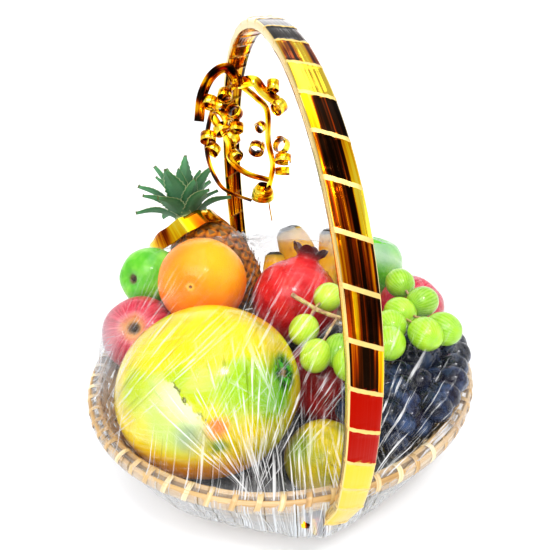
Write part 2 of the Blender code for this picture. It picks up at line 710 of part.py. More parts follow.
def ribbon_curl(x, depth, z, radius, turns, width, axis, pitch=0.0):
    """A curl of ribbon, wound round axis like a watch spring or a short coil."""
    axis = Vector(axis).normalized()
    side = axis.orthogonal().normalized()
    ahead = axis.cross(side)
    steps = int(7 * turns)
    path = []
    for step in range(steps + 1):
        turn = math.tau * turns * step / steps
        reach = radius * (1 - 0.30 * step / steps)
        rise = pitch * (step / steps - 0.5)
        path.append(Vector((x, RIBBON_PLANE + depth, z)) + axis * rise
                    + (side * math.cos(turn) + ahead * math.sin(turn)) * reach)
    return stand(swept(path_stations(path, flat_section(width), axis)), "curl", GOLD_FOIL)


def make_ribbon():
    """The curled foil ribbon: a knot against the far leg, two wide loops, tails and curls."""
    bm = bmesh.new()
    bmesh.ops.create_icosphere(bm, subdivisions=2, radius=0.0055)
    knot = stand(bm, "ribbon", GOLD_FOIL, RIBBON_KNOT + Vector((0, -0.006, 0)))
    toward = (0, 1, 0)
    pieces = [
        ribbon_run([(0.0, -0.006, 0.288), (-0.013, -0.010, 0.296), (-0.025, -0.008, 0.293),
                    (-0.034, -0.006, 0.275), (-0.037, -0.006, 0.252)], 0.010, (1, 0, 0)),
        ribbon_run([(0.0, -0.006, 0.287), (0.018, -0.008, 0.283), (0.034, -0.010, 0.269)],
                   0.009, (0, 0, 1)),
        ribbon_run([(0.002, -0.006, 0.286), (0.023, -0.004, 0.272), (0.032, -0.006, 0.252),
                    (0.027, -0.008, 0.228), (0.028, -0.008, 0.204), (0.024, -0.008, 0.188)],
                   0.005, (1, 0, 0)),
        ribbon_run([(-0.002, -0.006, 0.286), (-0.022, -0.002, 0.276), (-0.028, -0.004, 0.252),
                    (-0.033, -0.006, 0.226), (-0.024, -0.008, 0.197), (0.006, -0.010, 0.178)],
                   0.006, (1, 0, 0)),
        ribbon_run([(-0.024, -0.006, 0.262), (-0.010, -0.010, 0.240), (-0.016, -0.012, 0.221),
                    (-0.004, -0.012, 0.206), (0.026, -0.010, 0.195)], 0.006, (0, 0, 1)),
        ribbon_curl(0.040, -0.010, 0.264, 0.008, 1.2, 0.008, (0.5, 0.8, 0.2)),
        ribbon_curl(0.033, -0.008, 0.277, 0.006, 1.1, 0.006, (0.9, 0.3, 0.2)),
        ribbon_curl(0.022, -0.008, 0.246, 0.007, 1.2, 0.006, toward),
        ribbon_curl(0.018, -0.008, 0.227, 0.009, 1.3, 0.007, toward),
        ribbon_curl(0.039, -0.008, 0.228, 0.010, 1.2, 0.008, (-0.5, 0.3, 0.8)),
        ribbon_curl(0.038, -0.008, 0.214, 0.011, 1.1, 0.007, (-0.2, 0.3, 0.9)),
        ribbon_curl(0.038, -0.008, 0.202, 0.012, 0.8, 0.006, (0.1, 0.2, 1.0)),
        ribbon_curl(0.019, -0.008, 0.184, 0.012, 2.6, 0.008, (0.1, -0.3, 1.0), 0.010),
        ribbon_curl(-0.026, -0.004, 0.272, 0.010, 1.3, 0.008, (0.3, 0.9, 0.3)),
        ribbon_curl(-0.018, -0.006, 0.258, 0.010, 1.3, 0.007, (-0.4, 0.8, 0.5)),
        ribbon_curl(-0.027, -0.006, 0.240, 0.009, 1.2, 0.007, (0.6, 0.6, 0.5)),
        ribbon_curl(-0.010, -0.010, 0.238, 0.008, 1.2, 0.006, toward),
    ]
    return fuse(knot, pieces)


make_bowl()
make_handle()
make_bed()
make_papaya()
make_orange()
make_mandarin()
for apple_name, (apple_centre, apple_radius, apple_axis) in APPLES.items():
    make_apple(apple_name, apple_centre, apple_radius, apple_axis)
for rind_name, (rind_centre, rind_radius, rind_axis) in POMEGRANATES.items():
    make_pomegranate(rind_name, rind_centre, rind_radius, rind_axis)
make_pineapple()
for banana_name, (banana_base, banana_belly, banana_tip, banana_girth) in BANANAS.items():
    make_banana(banana_name, banana_base, banana_belly, banana_tip, banana_girth)
make_green_grapes()
make_dark_grapes()
make_film()
make_ribbon()
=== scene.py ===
import math
import random

import bmesh
import bpy
from mathutils import Matrix, Vector, noise
from mathutils.bvhtree import BVHTree


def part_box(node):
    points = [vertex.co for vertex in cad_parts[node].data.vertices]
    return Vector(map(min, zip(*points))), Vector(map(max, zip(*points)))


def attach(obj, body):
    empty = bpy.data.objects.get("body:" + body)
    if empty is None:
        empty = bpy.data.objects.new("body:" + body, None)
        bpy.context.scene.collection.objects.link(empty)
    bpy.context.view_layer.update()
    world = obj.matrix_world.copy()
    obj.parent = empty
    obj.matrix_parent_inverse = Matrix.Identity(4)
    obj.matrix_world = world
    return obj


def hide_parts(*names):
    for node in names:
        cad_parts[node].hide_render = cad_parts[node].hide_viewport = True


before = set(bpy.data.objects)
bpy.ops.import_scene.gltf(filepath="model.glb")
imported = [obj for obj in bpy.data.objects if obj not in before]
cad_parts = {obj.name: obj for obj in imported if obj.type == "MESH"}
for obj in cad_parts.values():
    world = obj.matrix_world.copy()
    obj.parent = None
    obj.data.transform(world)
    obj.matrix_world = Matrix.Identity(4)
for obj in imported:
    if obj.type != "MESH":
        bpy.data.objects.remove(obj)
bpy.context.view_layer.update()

# Table and light
# A plain white table that curves up into a pale backdrop all the way round. A broad even
# light fills the room, with a soft lamp, one overhead, a small one for sparkle, and low fills.
TABLE_RADIUS = 2.6
COVE_RADIUS = 0.9
COVE_HEIGHT = 2.4


def turned(points, steps):
    """Spin a profile of (radius, height) points, axis to axis, into one surface."""
    bm = bmesh.new()
    line = [bm.verts.new((radius, 0, height)) for radius, height in points]
    edges = [bm.edges.new(pair) for pair in zip(line, line[1:])]
    bmesh.ops.spin(bm, geom=line + edges, cent=(0, 0, 0), axis=(0, 0, 1), angle=math.tau,
                   steps=steps, use_merge=True)
    bmesh.ops.remove_doubles(bm, verts=bm.verts, dist=1e-6)
    bmesh.ops.recalc_face_normals(bm, faces=bm.faces)
    return bm


def finish_of(name, **sockets):
    """A Principled material, its node tree and its shader's inputs."""
    material = bpy.data.materials.new(name)
    material.use_nodes = True
    inputs = material.node_tree.nodes["Principled BSDF"].inputs
    for socket, value in sockets.items():
        inputs[socket.replace("_", " ")].default_value = value
    return material, material.node_tree, inputs


profile = [(0.0, 0.0), (TABLE_RADIUS, 0.0)]
for part in range(1, 9):
    turn = math.pi / 2 * part / 8
    profile.append((TABLE_RADIUS + COVE_RADIUS * math.sin(turn),
                    COVE_RADIUS * (1 - math.cos(turn))))
profile.append((TABLE_RADIUS + COVE_RADIUS, COVE_HEIGHT))
cove = turned(profile, 96)
bmesh.ops.reverse_faces(cove, faces=cove.faces)
cove_mesh = bpy.data.meshes.new("table")
cove.to_mesh(cove_mesh)
cove.free()
cove_mesh.shade_smooth()
table = bpy.data.objects.new("table", cove_mesh)
bpy.context.scene.collection.objects.link(table)
table_paint = finish_of("white table", Base_Color=(0.93, 0.93, 0.94, 1.0), Roughness=0.75)
cove_mesh.materials.append(table_paint[0])


def lamp(name, place, aim, width, height, power):
    """A rectangular soft lamp at place, turned to aim."""
    light = bpy.data.lights.new(name, "AREA")
    light.shape = "RECTANGLE"
    light.size = width
    light.size_y = height
    light.energy = power
    holder = bpy.data.objects.new(name, light)
    holder.location = place
    holder.rotation_euler = (Vector(aim) - Vector(place)).to_track_quat("-Z", "Y").to_euler()
    bpy.context.scene.collection.objects.link(holder)


HEART = (0.0, 0.0, 0.12)
lamp("soft lamp", (-0.7, -0.9, 1.5), HEART, 1.1, 1.1, 5.5)
lamp("sparkle lamp", (0.10, -0.75, 1.25), HEART, 0.20, 0.20, 4.0)
lamp("right fill", (1.3, -0.5, 0.6), HEART, 0.9, 0.7, 1.2)
lamp("back fill", (0.2, 1.5, 0.9), HEART, 1.2, 0.6, 1.5)
lamp("top lamp", (0.15, 0.10, 2.2), HEART, 1.6, 1.6, 11.0)
lamp("front fill", (-0.40, -1.3, 0.22), HEART, 0.9, 0.4, 1.6)
sky = bpy.data.lights.new("room light", "SUN")
sky.energy = 1.05
sky.angle = math.radians(40)
sky_holder = bpy.data.objects.new("room light", sky)
sky_holder.rotation_euler = Vector((0.30, 0.62, -0.72)).to_track_quat("-Z", "Y").to_euler()
bpy.context.scene.collection.objects.link(sky_holder)

world = bpy.data.worlds.new("studio")
world.use_nodes = True
bpy.context.scene.world = world
world.node_tree.nodes["Background"].inputs["Color"].default_value = (1.0, 1.0, 1.0, 1.0)
world.node_tree.nodes["Background"].inputs["Strength"].default_value = 0.60
bpy.context.scene.view_settings.view_transform = "Standard"
bpy.context.scene.view_settings.look = "Medium High Contrast"

# Camera
# Held close, above the near rim and a little to the left of the handle's near leg.
VIEW_PLACE = (-0.0759, -0.3540, 0.315)
VIEW_HEADING = math.radians(12.3)
VIEW_DIP = math.radians(24.9)
VIEW_ROLL = math.radians(3.3)
VIEW_LENS = 32.27

camera = bpy.data.objects.new("camera", bpy.data.cameras.new("camera"))
camera.data.lens = VIEW_LENS
camera.data.sensor_width = 36.0
camera.data.clip_start = 0.01
camera.matrix_world = (
    Matrix.Translation(VIEW_PLACE)
    @ Matrix.Rotation(-VIEW_HEADING, 4, "Z")
    @ Matrix.Rotation(math.pi / 2 - VIEW_DIP, 4, "X")
    @ Matrix.Rotation(-VIEW_ROLL, 4, "Z"))
bpy.context.scene.collection.objects.link(camera)
bpy.context.scene.camera = camera


# Basket
# A round bowl woven of split cane. Flat stakes stand from the woven base to the rim, flat
# weavers pass before and behind them in turn, and two hoops clasp the rim under lashing.
BASE_RADIUS = 0.113
RIM_RADIUS = 0.1535
RIM_HEIGHT = 0.0695
WALL_MIDDLE = 0.0024
STAKES = 46
STAKE_WIDTH = 0.0060
STRAND_THICKNESS = 0.0013
WEAVER_ROWS = 12
WEAVER_PITCH = 0.0054
WEAVER_HEIGHT = 0.0047
WEAVE_SWING = 0.00125
BASE_RINGS = 14
BASE_HEART = 0.010
BASE_PITCH = 0.0077
LASHINGS = 66
LASHING_WIDTH = 0.0038


def paint(code):
    """Linear red, green, blue and alpha of a six-figure screen colour."""
    parts = [int(code[place:place + 2], 16) / 255 for place in (0, 2, 4)]
    return tuple(part / 12.92 if part <= 0.04045 else ((part + 0.055) / 1.055) ** 2.4
                 for part in parts) + (1.0,)


def add(tree, kind, inputs=None, out=0, **options):
    """Add a shader node with its options, fill or link its inputs, and give an output."""
    node = tree.nodes.new("ShaderNode" + kind)
    for option, value in options.items():
        setattr(node, option, value)
    for key, value in (inputs or {}).items():
        if isinstance(value, bpy.types.NodeSocket):
            tree.links.new(value, node.inputs[key])
        else:
            node.inputs[key].default_value = value
    return node.outputs[out]


def sums(tree, operation, first, second=0.0):
    """One Math node."""
    return add(tree, "Math", {0: first, 1: second}, operation=operation)


def mixed(tree, share, first, second):
    """One colour over another, by a share. Each is a socket or a screen colour."""
    first, second = (paint(colour) if isinstance(colour, str) else colour
                     for colour in (first, second))
    return add(tree, "Mix", {0: share, 6: first, 7: second}, out=2, data_type="RGBA")


def rise(tree, value, low, high):
    """0 at low, 1 at high, eased between."""
    return add(tree, "MapRange", {0: value, 1: low, 2: high}, interpolation_type="SMOOTHSTEP")


def cloud(tree, where, scale, detail=3.0, roughness=0.5):
    """Plain noise, about 0.5."""
    return add(tree, "TexNoise", {"Vector": where, "Scale": scale, "Detail": detail,
                                  "Roughness": roughness})


def ramp(tree, share, stops):
    """A colour ramp with the given stops, each a place and a screen colour."""
    node = tree.nodes.new("ShaderNodeValToRGB")
    tree.links.new(share, node.inputs[0])
    elements = node.color_ramp.elements
    while len(elements) < len(stops):
        elements.new(1.0)
    for element, (place, colour) in zip(elements, stops):
        element.position = place
        element.color = paint(colour)
    return node.outputs[0]


def relief(tree, height, strength, distance):
    """A normal bumped by height."""
    return add(tree, "Bump", {"Height": height, "Strength": strength, "Distance": distance})


def carried(tree, label):
    """The three values that a piece's points carry under a name."""
    values = add(tree, "Attribute", out="Vector", attribute_name=label)
    return add(tree, "SeparateXYZ", {0: values}).node.outputs


def dress(tree, shader, colour, normal, roughness=None):
    """Link a finish's colour and relief, and its roughness where that changes."""
    tree.links.new(colour, shader["Base Color"])
    tree.links.new(normal, shader["Normal"])
    if roughness is not None:
        tree.links.new(roughness, shader["Roughness"])


def place_in(tree):
    """Object coordinates, which are the row's own metres on every piece."""
    return add(tree, "TexCoord", out="Object")


def settle(bm, name, material, nodes=(), crease=40.0):
    """Make a finished piece of a bmesh, set it to ride on the root, and hide the parts that it
    stands for.
    """
    mesh = bpy.data.meshes.new(name)
    bm.to_mesh(mesh)
    bm.free()
    mesh.materials.append(material)
    mesh.shade_smooth()
    mesh.set_sharp_from_angle(angle=math.radians(crease))
    piece = bpy.data.objects.new(name, mesh)
    bpy.context.scene.collection.objects.link(piece)
    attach(piece, "root")
    if nodes:
        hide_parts(*nodes)
    return piece


def rounded_bar(width, thickness, corner=0.35):
    """Points round a flat bar with eased corners, (across, deep)."""
    half, deep = width / 2, thickness / 2
    cut = corner * thickness
    return [(-half, -deep + cut), (-half + cut, -deep), (half - cut, -deep), (half, -deep + cut),
            (half, deep - cut), (half - cut, deep), (-half + cut, deep), (-half, deep - cut)]


def tube(stations, marks=None, ring=False):
    """A closed tube through stations of as many points; a ring joins the last to the first.
    Marks are the values that its points carry, by name, as functions of (row, side)."""
    bm = bmesh.new()
    layers = {label: bm.verts.layers.float_vector.new(label) for label in (marks or {})}
    sides = len(stations[0])
    rows = stations + stations[:1] if ring else stations
    bmesh.ops.create_grid(bm, x_segments=sides, y_segments=len(rows) - 1, size=1.0)
    for index, vert in enumerate(bm.verts):
        row, side = divmod(index, sides + 1)
        vert.co = rows[row][side % sides]
        for label, layer in layers.items():
            vert[layer] = marks[label](row % len(stations), side % sides)
    bmesh.ops.remove_doubles(bm, verts=bm.verts, dist=1e-7)
    if not ring:
        ends = [edge for edge in bm.edges if edge.is_boundary]
        bmesh.ops.edgeloop_fill(bm, edges=ends)
    bmesh.ops.recalc_face_normals(bm, faces=bm.faces)
    return bm


def join(whole, part):
    """Add a part to the whole, with the values that its points carry, and free it."""
    data = bpy.data.meshes.new("part")
    part.to_mesh(data)
    part.free()
    whole.from_mesh(data)
    bpy.data.meshes.remove(data)


def wall_point(height, turn, out=0.0):
    """A point in the middle of the bowl's wall, moved out along the wall's normal."""
    slope = Vector((RIM_RADIUS - BASE_RADIUS, RIM_HEIGHT)).normalized()
    radius = BASE_RADIUS + (RIM_RADIUS - BASE_RADIUS) * height / RIM_HEIGHT
    radius += (out - WALL_MIDDLE) * slope.y
    return Vector((radius * math.cos(turn), radius * math.sin(turn), height - out * slope.x))


weave = bmesh.new()
weave.verts.layers.float_vector.new("fibre")
weave.verts.layers.float_vector.new("tone")
rng = random.Random(11)


def add_strand(stations, number, ring):
    """Add a strand with its own tone, and the coordinates that its fibres follow."""
    shade = Vector((rng.random(), rng.random(), 0))
    sides = len(stations[0])

    def fibre_at(row, side):
        co = stations[row][side]
        across = 2 * math.pi * side / sides
        if ring:
            return Vector((co.x * 9, co.y * 9, 3 * math.cos(across) + number * 37.7))
        return Vector((row * 0.12, number * 17.3, 3 * math.cos(across)))
    join(weave, tube(stations, {"fibre": fibre_at, "tone": lambda row, side: shade}, ring))


for row in range(WEAVER_ROWS):
    middle = 0.0036 + row * WEAVER_PITCH + 0.0003 * (rng.random() - 0.5)
    side = 1 if row % 2 else -1
    stations = []
    for step in range(STAKES * 4):
        turn = math.tau * step / (STAKES * 4)
        swing = side * WEAVE_SWING * math.cos(turn * STAKES / 2)
        swing += 0.0002 * math.sin(turn * 7 + row)
        wander = 0.0004 * math.sin(turn * 5 + row * 1.7)
        stations.append([wall_point(middle + wander + up * 0.86, turn, out + swing)
                         for up, out in rounded_bar(WEAVER_HEIGHT, STRAND_THICKNESS)])
    add_strand(stations, row, True)

for stake in range(STAKES):
    turn = math.tau * stake / STAKES
    side = Vector((-math.sin(turn), math.cos(turn), 0))
    stations = []
    for part in range(13):
        height = 0.0012 + 0.0668 * part / 12
        centre = wall_point(height, turn)
        out = (wall_point(height, turn, 0.01) - centre).normalized()
        stations.append([centre + side * across + out * deep
                         for across, deep in rounded_bar(STAKE_WIDTH, STRAND_THICKNESS)])
    add_strand(stations, stake, False)

def facing(turn):
    """The ways straight out and aside, at a turn round an upright axis."""
    out = Vector((math.cos(turn), math.sin(turn), 0))
    return out, Vector((-out.y, out.x, 0))


for number in range(BASE_RINGS):
    radius = BASE_HEART + BASE_PITCH * number
    side = 1 if number % 2 else -1
    stations = []
    for step in range(STAKES * 2):
        turn = math.tau * step / (STAKES * 2)
        lift = 0.0021 + side * 0.0008 * math.cos(turn * STAKES / 4)
        stations.append([Vector(((radius + across) * math.cos(turn),
                                 (radius + across) * math.sin(turn), lift + deep))
                         for across, deep in rounded_bar(0.0068, 0.0011)])
    add_strand(stations, number + 40, True)
for spoke in range(STAKES // 2):
    turn = math.tau * spoke / (STAKES // 2)
    out, side = facing(turn)
    stations = []
    for reach in (0.006, 0.040, 0.075, 0.1115):
        stations.append([out * reach + side * across * min(1.0, reach / 0.030)
                         + Vector((0, 0, 0.0021 + deep))
                         for across, deep in rounded_bar(0.0050, 0.0009)])
    add_strand(stations, spoke + 70, False)


def hooped(radius, height, section, steps, wobble=0.0):
    """Stations round the bowl's axis for a section of (across, up) points."""
    stations = []
    for step in range(steps):
        turn = math.tau * step / steps
        rise_here = wobble * math.sin(turn * 9 + radius * 900)
        stations.append([Vector(((radius + across) * math.cos(turn),
                                 (radius + across) * math.sin(turn), height + up + rise_here))
                         for across, up in section])
    return stations


foot = [(0.0024 * math.cos(math.tau * side / 10), 0.0024 * math.sin(math.tau * side / 10))
        for side in range(10)]
add_strand(hooped(BASE_RADIUS - 0.0024, 0.0024, foot, 120), 90, True)
for shift in (0.0030, -0.0030):
    section = [(deep, up) for up, deep in rounded_bar(0.0094, 0.0034, 0.42)]
    add_strand(hooped(RIM_RADIUS + shift, RIM_HEIGHT, section, 160, 0.0003),
               100 + shift * 1000, True)
for lashing in range(LASHINGS):
    turn = math.tau * lashing / LASHINGS + 0.01 * rng.random()
    out, along = facing(turn)
    stations = []
    for step in range(16):
        round_rim = math.tau * step / 16
        away = out * math.cos(round_rim) + Vector((0, 0, 1.04)) * math.sin(round_rim)
        slant = along * 0.0022 * math.sin(round_rim)
        stations.append([out * RIM_RADIUS + Vector((0, 0, RIM_HEIGHT)) + slant
                         + away * (0.0055 + deep) + along * across
                         for across, deep in rounded_bar(LASHING_WIDTH, 0.0007)])
    add_strand(stations, 110 + lashing, True)

cane, tree, shader = finish_of("split cane", Roughness=0.55)
grain_place = add(tree, "Attribute", out="Vector", attribute_name="fibre")
strand_tone = carried(tree, "tone")[0]
grain = cloud(tree, grain_place, 1.0, 4.0, 0.6)
stain = cloud(tree, place_in(tree), 38.0, 2.0)
shade = sums(tree, "ADD", sums(tree, "MULTIPLY", grain, 0.55),
             sums(tree, "MULTIPLY", strand_tone, 0.38))
shade = sums(tree, "ADD", shade, sums(tree, "MULTIPLY", stain, 0.25))
cane_tones = ramp(tree, shade, [(0.25, "80603c"), (0.45, "ba9664"), (0.62, "d4ba8c"),
                                (0.85, "e8dab8")])
dress(tree, shader, cane_tones, relief(tree, grain, 0.5, 0.0004), rise(tree, grain, 0.2, 1.4))
settle(weave, "woven_basket", cane, ["basket"])


# Handle
# A flat split-cane hoop, wrapped along its length in mirror-bright gold foil and bound with
# a narrow pale band that slants round it. Crumpled foil ties hold its two feet to the bowl.
HOOP_HALF_SPAN = 0.184
HOOP_BELLY_HEIGHT = 0.169
HOOP_RISE = 0.160
HOOP_DROP = 0.220
HOOP_FOOT_HEIGHT = 0.041
HOOP_WIDTH = 0.0175
HOOP_THICKNESS = 0.007
BAND_PITCH = 0.0235
BAND_WIDTH = 0.0028
BAND_SLANT = 0.45
FOOT_LEAN = 0.25
BOWL_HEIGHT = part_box("basket")[1].z


def new_group(name, inputs, outputs):
    """An empty shader group with the given sockets, as (tree, its inputs, its outputs)."""
    group = bpy.data.node_groups.new(name, "ShaderNodeTree")
    for label, kind, value in inputs:
        socket = group.interface.new_socket(label, in_out="INPUT", socket_type=kind)
        if value is not None:
            socket.default_value = value
    for label, kind in outputs:
        group.interface.new_socket(label, in_out="OUTPUT", socket_type=kind)
    entry = group.nodes.new("NodeGroupInput")
    leave = group.nodes.new("NodeGroupOutput")
    return group, entry.outputs, leave.inputs


# Painted reflections in the foil's colour: long streaks that run along the strip, painted dark
# where the foil mirrors the room and bright where it mirrors the lamps. Tone slides every streak
# lighter or darker.
painted_reflection_streaks, given, wanted = new_group(
    "painted reflection streaks",
    [("Across", "NodeSocketFloat", 0.0), ("Along", "NodeSocketFloat", 0.0),
     ("Seed", "NodeSocketFloat", 0.0), ("Tone", "NodeSocketFloat", 0.5)],
    [("Color", "NodeSocketColor"), ("Height", "NodeSocketFloat")])
spread = add(painted_reflection_streaks, "CombineXYZ", {0: given["Across"], 1: given["Along"],
                                          2: given["Seed"]})
wide = cloud(painted_reflection_streaks, add(painted_reflection_streaks, "VectorMath", {0: spread, 1: (1.9, 0.22, 7.3)},
                               operation="MULTIPLY"), 1.0, 1.0)
fine = cloud(painted_reflection_streaks, add(painted_reflection_streaks, "VectorMath", {0: spread, 1: (6.0, 0.16, 3.1)},
                               operation="MULTIPLY"), 1.0, 2.0)
level = sums(painted_reflection_streaks, "ADD", sums(painted_reflection_streaks, "MULTIPLY", wide, 1.7),
             sums(painted_reflection_streaks, "MULTIPLY", fine, 0.75))
level = sums(painted_reflection_streaks, "ADD", level, given["Tone"])
level = sums(painted_reflection_streaks, "SUBTRACT", level, 1.22)
painted_reflection_streaks.links.new(
    ramp(painted_reflection_streaks, level, [(0.20, "1c0f06"), (0.34, "421c06"),
                               (0.45, "8e3406"), (0.53, "c4700a"),
                               (0.63, "e8a410"), (0.78, "fcd01c"),
                               (0.97, "ffe658")]), wanted["Color"])
painted_reflection_streaks.links.new(sums(painted_reflection_streaks, "ADD", wide, fine), wanted["Height"])


def hoop_point(turn):
    """Point of the hoop's middle line; turn runs from the near foot over the top."""
    reach = HOOP_RISE if math.sin(turn) > 0 else HOOP_DROP
    return Vector((0, -HOOP_HALF_SPAN * math.cos(turn),
                   HOOP_BELLY_HEIGHT + reach * math.sin(turn)))


def hoop_path(samples=720):
    """The middle line as points with the length run so far."""
    foot = math.asin((HOOP_FOOT_HEIGHT - HOOP_BELLY_HEIGHT) / HOOP_DROP)
    turns = [foot + (math.pi - 2 * foot) * step / samples for step in range(samples + 1)]
    path = [(0.0, hoop_point(turns[0]))]
    for turn in turns[1:]:
        point = hoop_point(turn)
        path.append((path[-1][0] + (point - path[-1][1]).length, point))
    return path


# How light each field of the foil is painted, from the near foot up: plain pale foil at the
# foot, two brick-red fields, then fields painted dark or light in turn as painted reflections of
# the room or the lamps.
# Each has a painted tone, and another from some place across the hoop on.
FIELD_REFLECTION_TONES = ((0.9, 0.0, 1.0), (0.9, 0.0, 1.0), (0.9, 0.0, 1.0), (0.9, 0.0, 1.0),
               (0.4, 0.0, 1.0), (0.4, 0.0, 1.0), (0.46, 0.24, 0.60), (0.56, -0.26, -0.05),
               (0.38, -0.08, 0.10), (0.33, 0.40, 0.36), (0.36, 0.40, 0.42),
               (0.62, -0.34, -0.10), (0.84, 0.06, 0.30), (0.56, 0.06, 0.20),
               (0.10, 0.05, 0.00), (0.08, 0.05, 0.00))
RED_FIELDS = (4, 5)
PLAIN_FIELDS = 3
# The bright field is painted pale as a reflection of the lamps; the back of the hoop gets
# painted reflection tones too.
LAMP_GLARE_FIELD = 12
BACK_REFLECTION_TONE = 0.54
BACK_REFLECTION_TONE_CHANGE = 0.10
path = hoop_path()
length = path[-1][0]
first_band = HOOP_WIDTH / 2 * BAND_SLANT + BAND_PITCH * 0.62
HOOP_STEPS = 560
HOOP_SIDES = 24


def at_run(run):
    """Point, direction and outward side of the hoop at a length from its near foot."""
    low, high = 0, len(path) - 1
    while high - low > 1:
        half = (low + high) // 2
        if path[half][0] <= run:
            low = half
        else:
            high = half
    start, end = path[low], path[high]
    point = start[1].lerp(end[1], (run - start[0]) / (end[0] - start[0]))
    lean = max(0.0, BOWL_HEIGHT - point.z) * FOOT_LEAN
    point.x = lean if point.y > 0 else -lean
    along = (end[1] - start[1]).normalized()
    return point, along, Vector((1, 0, 0)).cross(-along).normalized()


def round_hoop(side):
    """Across and deep, from -1 to 1, of a point round the hoop's flat, soft-edged section."""
    turn = math.tau * side / HOOP_SIDES
    bulge = 2 / 4.5
    return (math.copysign(abs(math.cos(turn)) ** bulge, math.cos(turn)),
            math.copysign(abs(math.sin(turn)) ** bulge, math.sin(turn)))


def field_at(run, across):
    """Number of the field between slanting bands; a band's middle is a whole number."""
    return (run + across * HOOP_WIDTH / 2 * BAND_SLANT - first_band) / BAND_PITCH


def tone_at(run, across):
    """Painted reflection tone, red share and plain share of the foil in its field."""
    number = math.floor(field_at(run, across)) + 1
    if number < len(FIELD_REFLECTION_TONES):
        plain = 1.0 if number <= PLAIN_FIELDS else 0.8 * (number == LAMP_GLARE_FIELD)
        return Vector((FIELD_REFLECTION_TONES[number][0], number in RED_FIELDS, plain))
    change = noise.noise(Vector((number * 1.7, 0.5, 0)))
    return Vector((BACK_REFLECTION_TONE + BACK_REFLECTION_TONE_CHANGE * change, 0, 0))


def split_at(run, across):
    """How much the painted reflection tone of a field changes, and from where across it."""
    number = math.floor(field_at(run, across)) + 1
    if number < len(FIELD_REFLECTION_TONES):
        return Vector((FIELD_REFLECTION_TONES[number][1], FIELD_REFLECTION_TONES[number][2], 0))
    return Vector((-0.40, 0.62, 0))


marks = [length * step / HOOP_STEPS for step in range(HOOP_STEPS + 1)]
stations = []
for run in marks:
    point, along, outward = at_run(run)
    station = []
    for side in range(HOOP_SIDES):
        across, deep = round_hoop(side)
        field = field_at(run, across)
        band = abs(field - round(field)) * BAND_PITCH < BAND_WIDTH / 2
        crinkle = noise.noise(Vector((across * 2.5, run * 30, deep))) * 0.00025
        thick = HOOP_THICKNESS / 2 + 0.00045 * band + crinkle + 0.0003 * (abs(across) > 0.9)
        station.append(point + Vector((across * HOOP_WIDTH / 2, 0, 0))
                       + outward * deep * thick)
    stations.append(station)
wrap = tube(stations, {
    "lie": lambda row, side: Vector((round_hoop(side)[0],
                                     field_at(marks[row], round_hoop(side)[0]),
                                     round_hoop(side)[1] > 0)),
    "mood": lambda row, side: tone_at(marks[row], round_hoop(side)[0]),
    "split": lambda row, side: split_at(marks[row], round_hoop(side)[0])})

# The foil's colour holds painted reflections: the streaks, the field tones and the bright field.
foil, tree, shader = finish_of("gold foil", Metallic=1.0, Roughness=0.16)
lies = carried(tree, "lie")
moods = carried(tree, "mood")
field_number = sums(tree, "FLOOR", lies[1])
streaks = add(tree, "Group", node_tree=painted_reflection_streaks).node
tree.links.new(lies[0], streaks.inputs["Across"])
tree.links.new(lies[1], streaks.inputs["Along"])
tree.links.new(sums(tree, "ADD", sums(tree, "MULTIPLY", field_number, 0.83), lies[2]),
               streaks.inputs["Seed"])
splits = carried(tree, "split")
beyond = rise(tree, sums(tree, "SUBTRACT", lies[0], splits[1]), -0.05, 0.05)
tree.links.new(sums(tree, "ADD", moods[0], sums(tree, "MULTIPLY", beyond, splits[0])),
               streaks.inputs["Tone"])
off_band = sums(tree, "ABSOLUTE", sums(tree, "SUBTRACT", lies[1],
                                       add(tree, "Math", {0: lies[1]}, operation="ROUND")))
band_share = sums(tree, "MULTIPLY", rise(tree, off_band, 0.058, 0.044),
                  rise(tree, lies[2], 1.4, 0.0))
edge_share = rise(tree, sums(tree, "ABSOLUTE", lies[0]), 0.90, 0.93)
look = mixed(tree, moods[1], streaks.outputs["Color"], "a81604")
look = mixed(tree, moods[2], look, "e8c83c")
look = mixed(tree, sums(tree, "MAXIMUM", band_share, edge_share), look, "ecd088")
dress(tree, shader, look, relief(tree, streaks.outputs["Height"], 0.25, 0.001),
      rise(tree, band_share, -0.55, 2.2))

TIE_SIZE = Vector((0.009, 0.006, 0.008))
TIE_PARTS = ((1.0, (0, 0, 0)), (0.62, (0.010, 0.001, 0.003)), (0.62, (-0.008, 0.001, 0.006)))
for side in (-1, 1):
    for part, (size, shift) in enumerate(TIE_PARTS):
        knot = bmesh.new()
        knot_lie = knot.verts.layers.float_vector.new("lie")
        knot_mood = knot.verts.layers.float_vector.new("mood")
        bmesh.ops.create_icosphere(knot, subdivisions=4, radius=1.0)
        middle = Vector((side * 0.013 + shift[0], side * (0.1535 + shift[1]),
                         0.049 + shift[2]))
        for vert in knot.verts:
            bent = noise.noise(vert.co * 1.9 + Vector((side, part, 0)))
            sharp = abs(noise.noise(vert.co * 3.7 + Vector((part * 3, side, 2))))
            vert[knot_lie] = Vector((vert.co.x * 0.8, 0.3 + vert.co.z * 0.15 + side, 1.0))
            vert[knot_mood] = Vector((0.50, 0.35 if sharp < 0.09 else 0.0, 0.0))
            crushed = 1 + 0.16 * bent - 0.30 * max(0.0, 0.25 - sharp)
            vert.co = middle + vert.co * TIE_SIZE * size * crushed
        join(wrap, knot)
settle(wrap, "foil_handle", foil, ["handle"], 55)


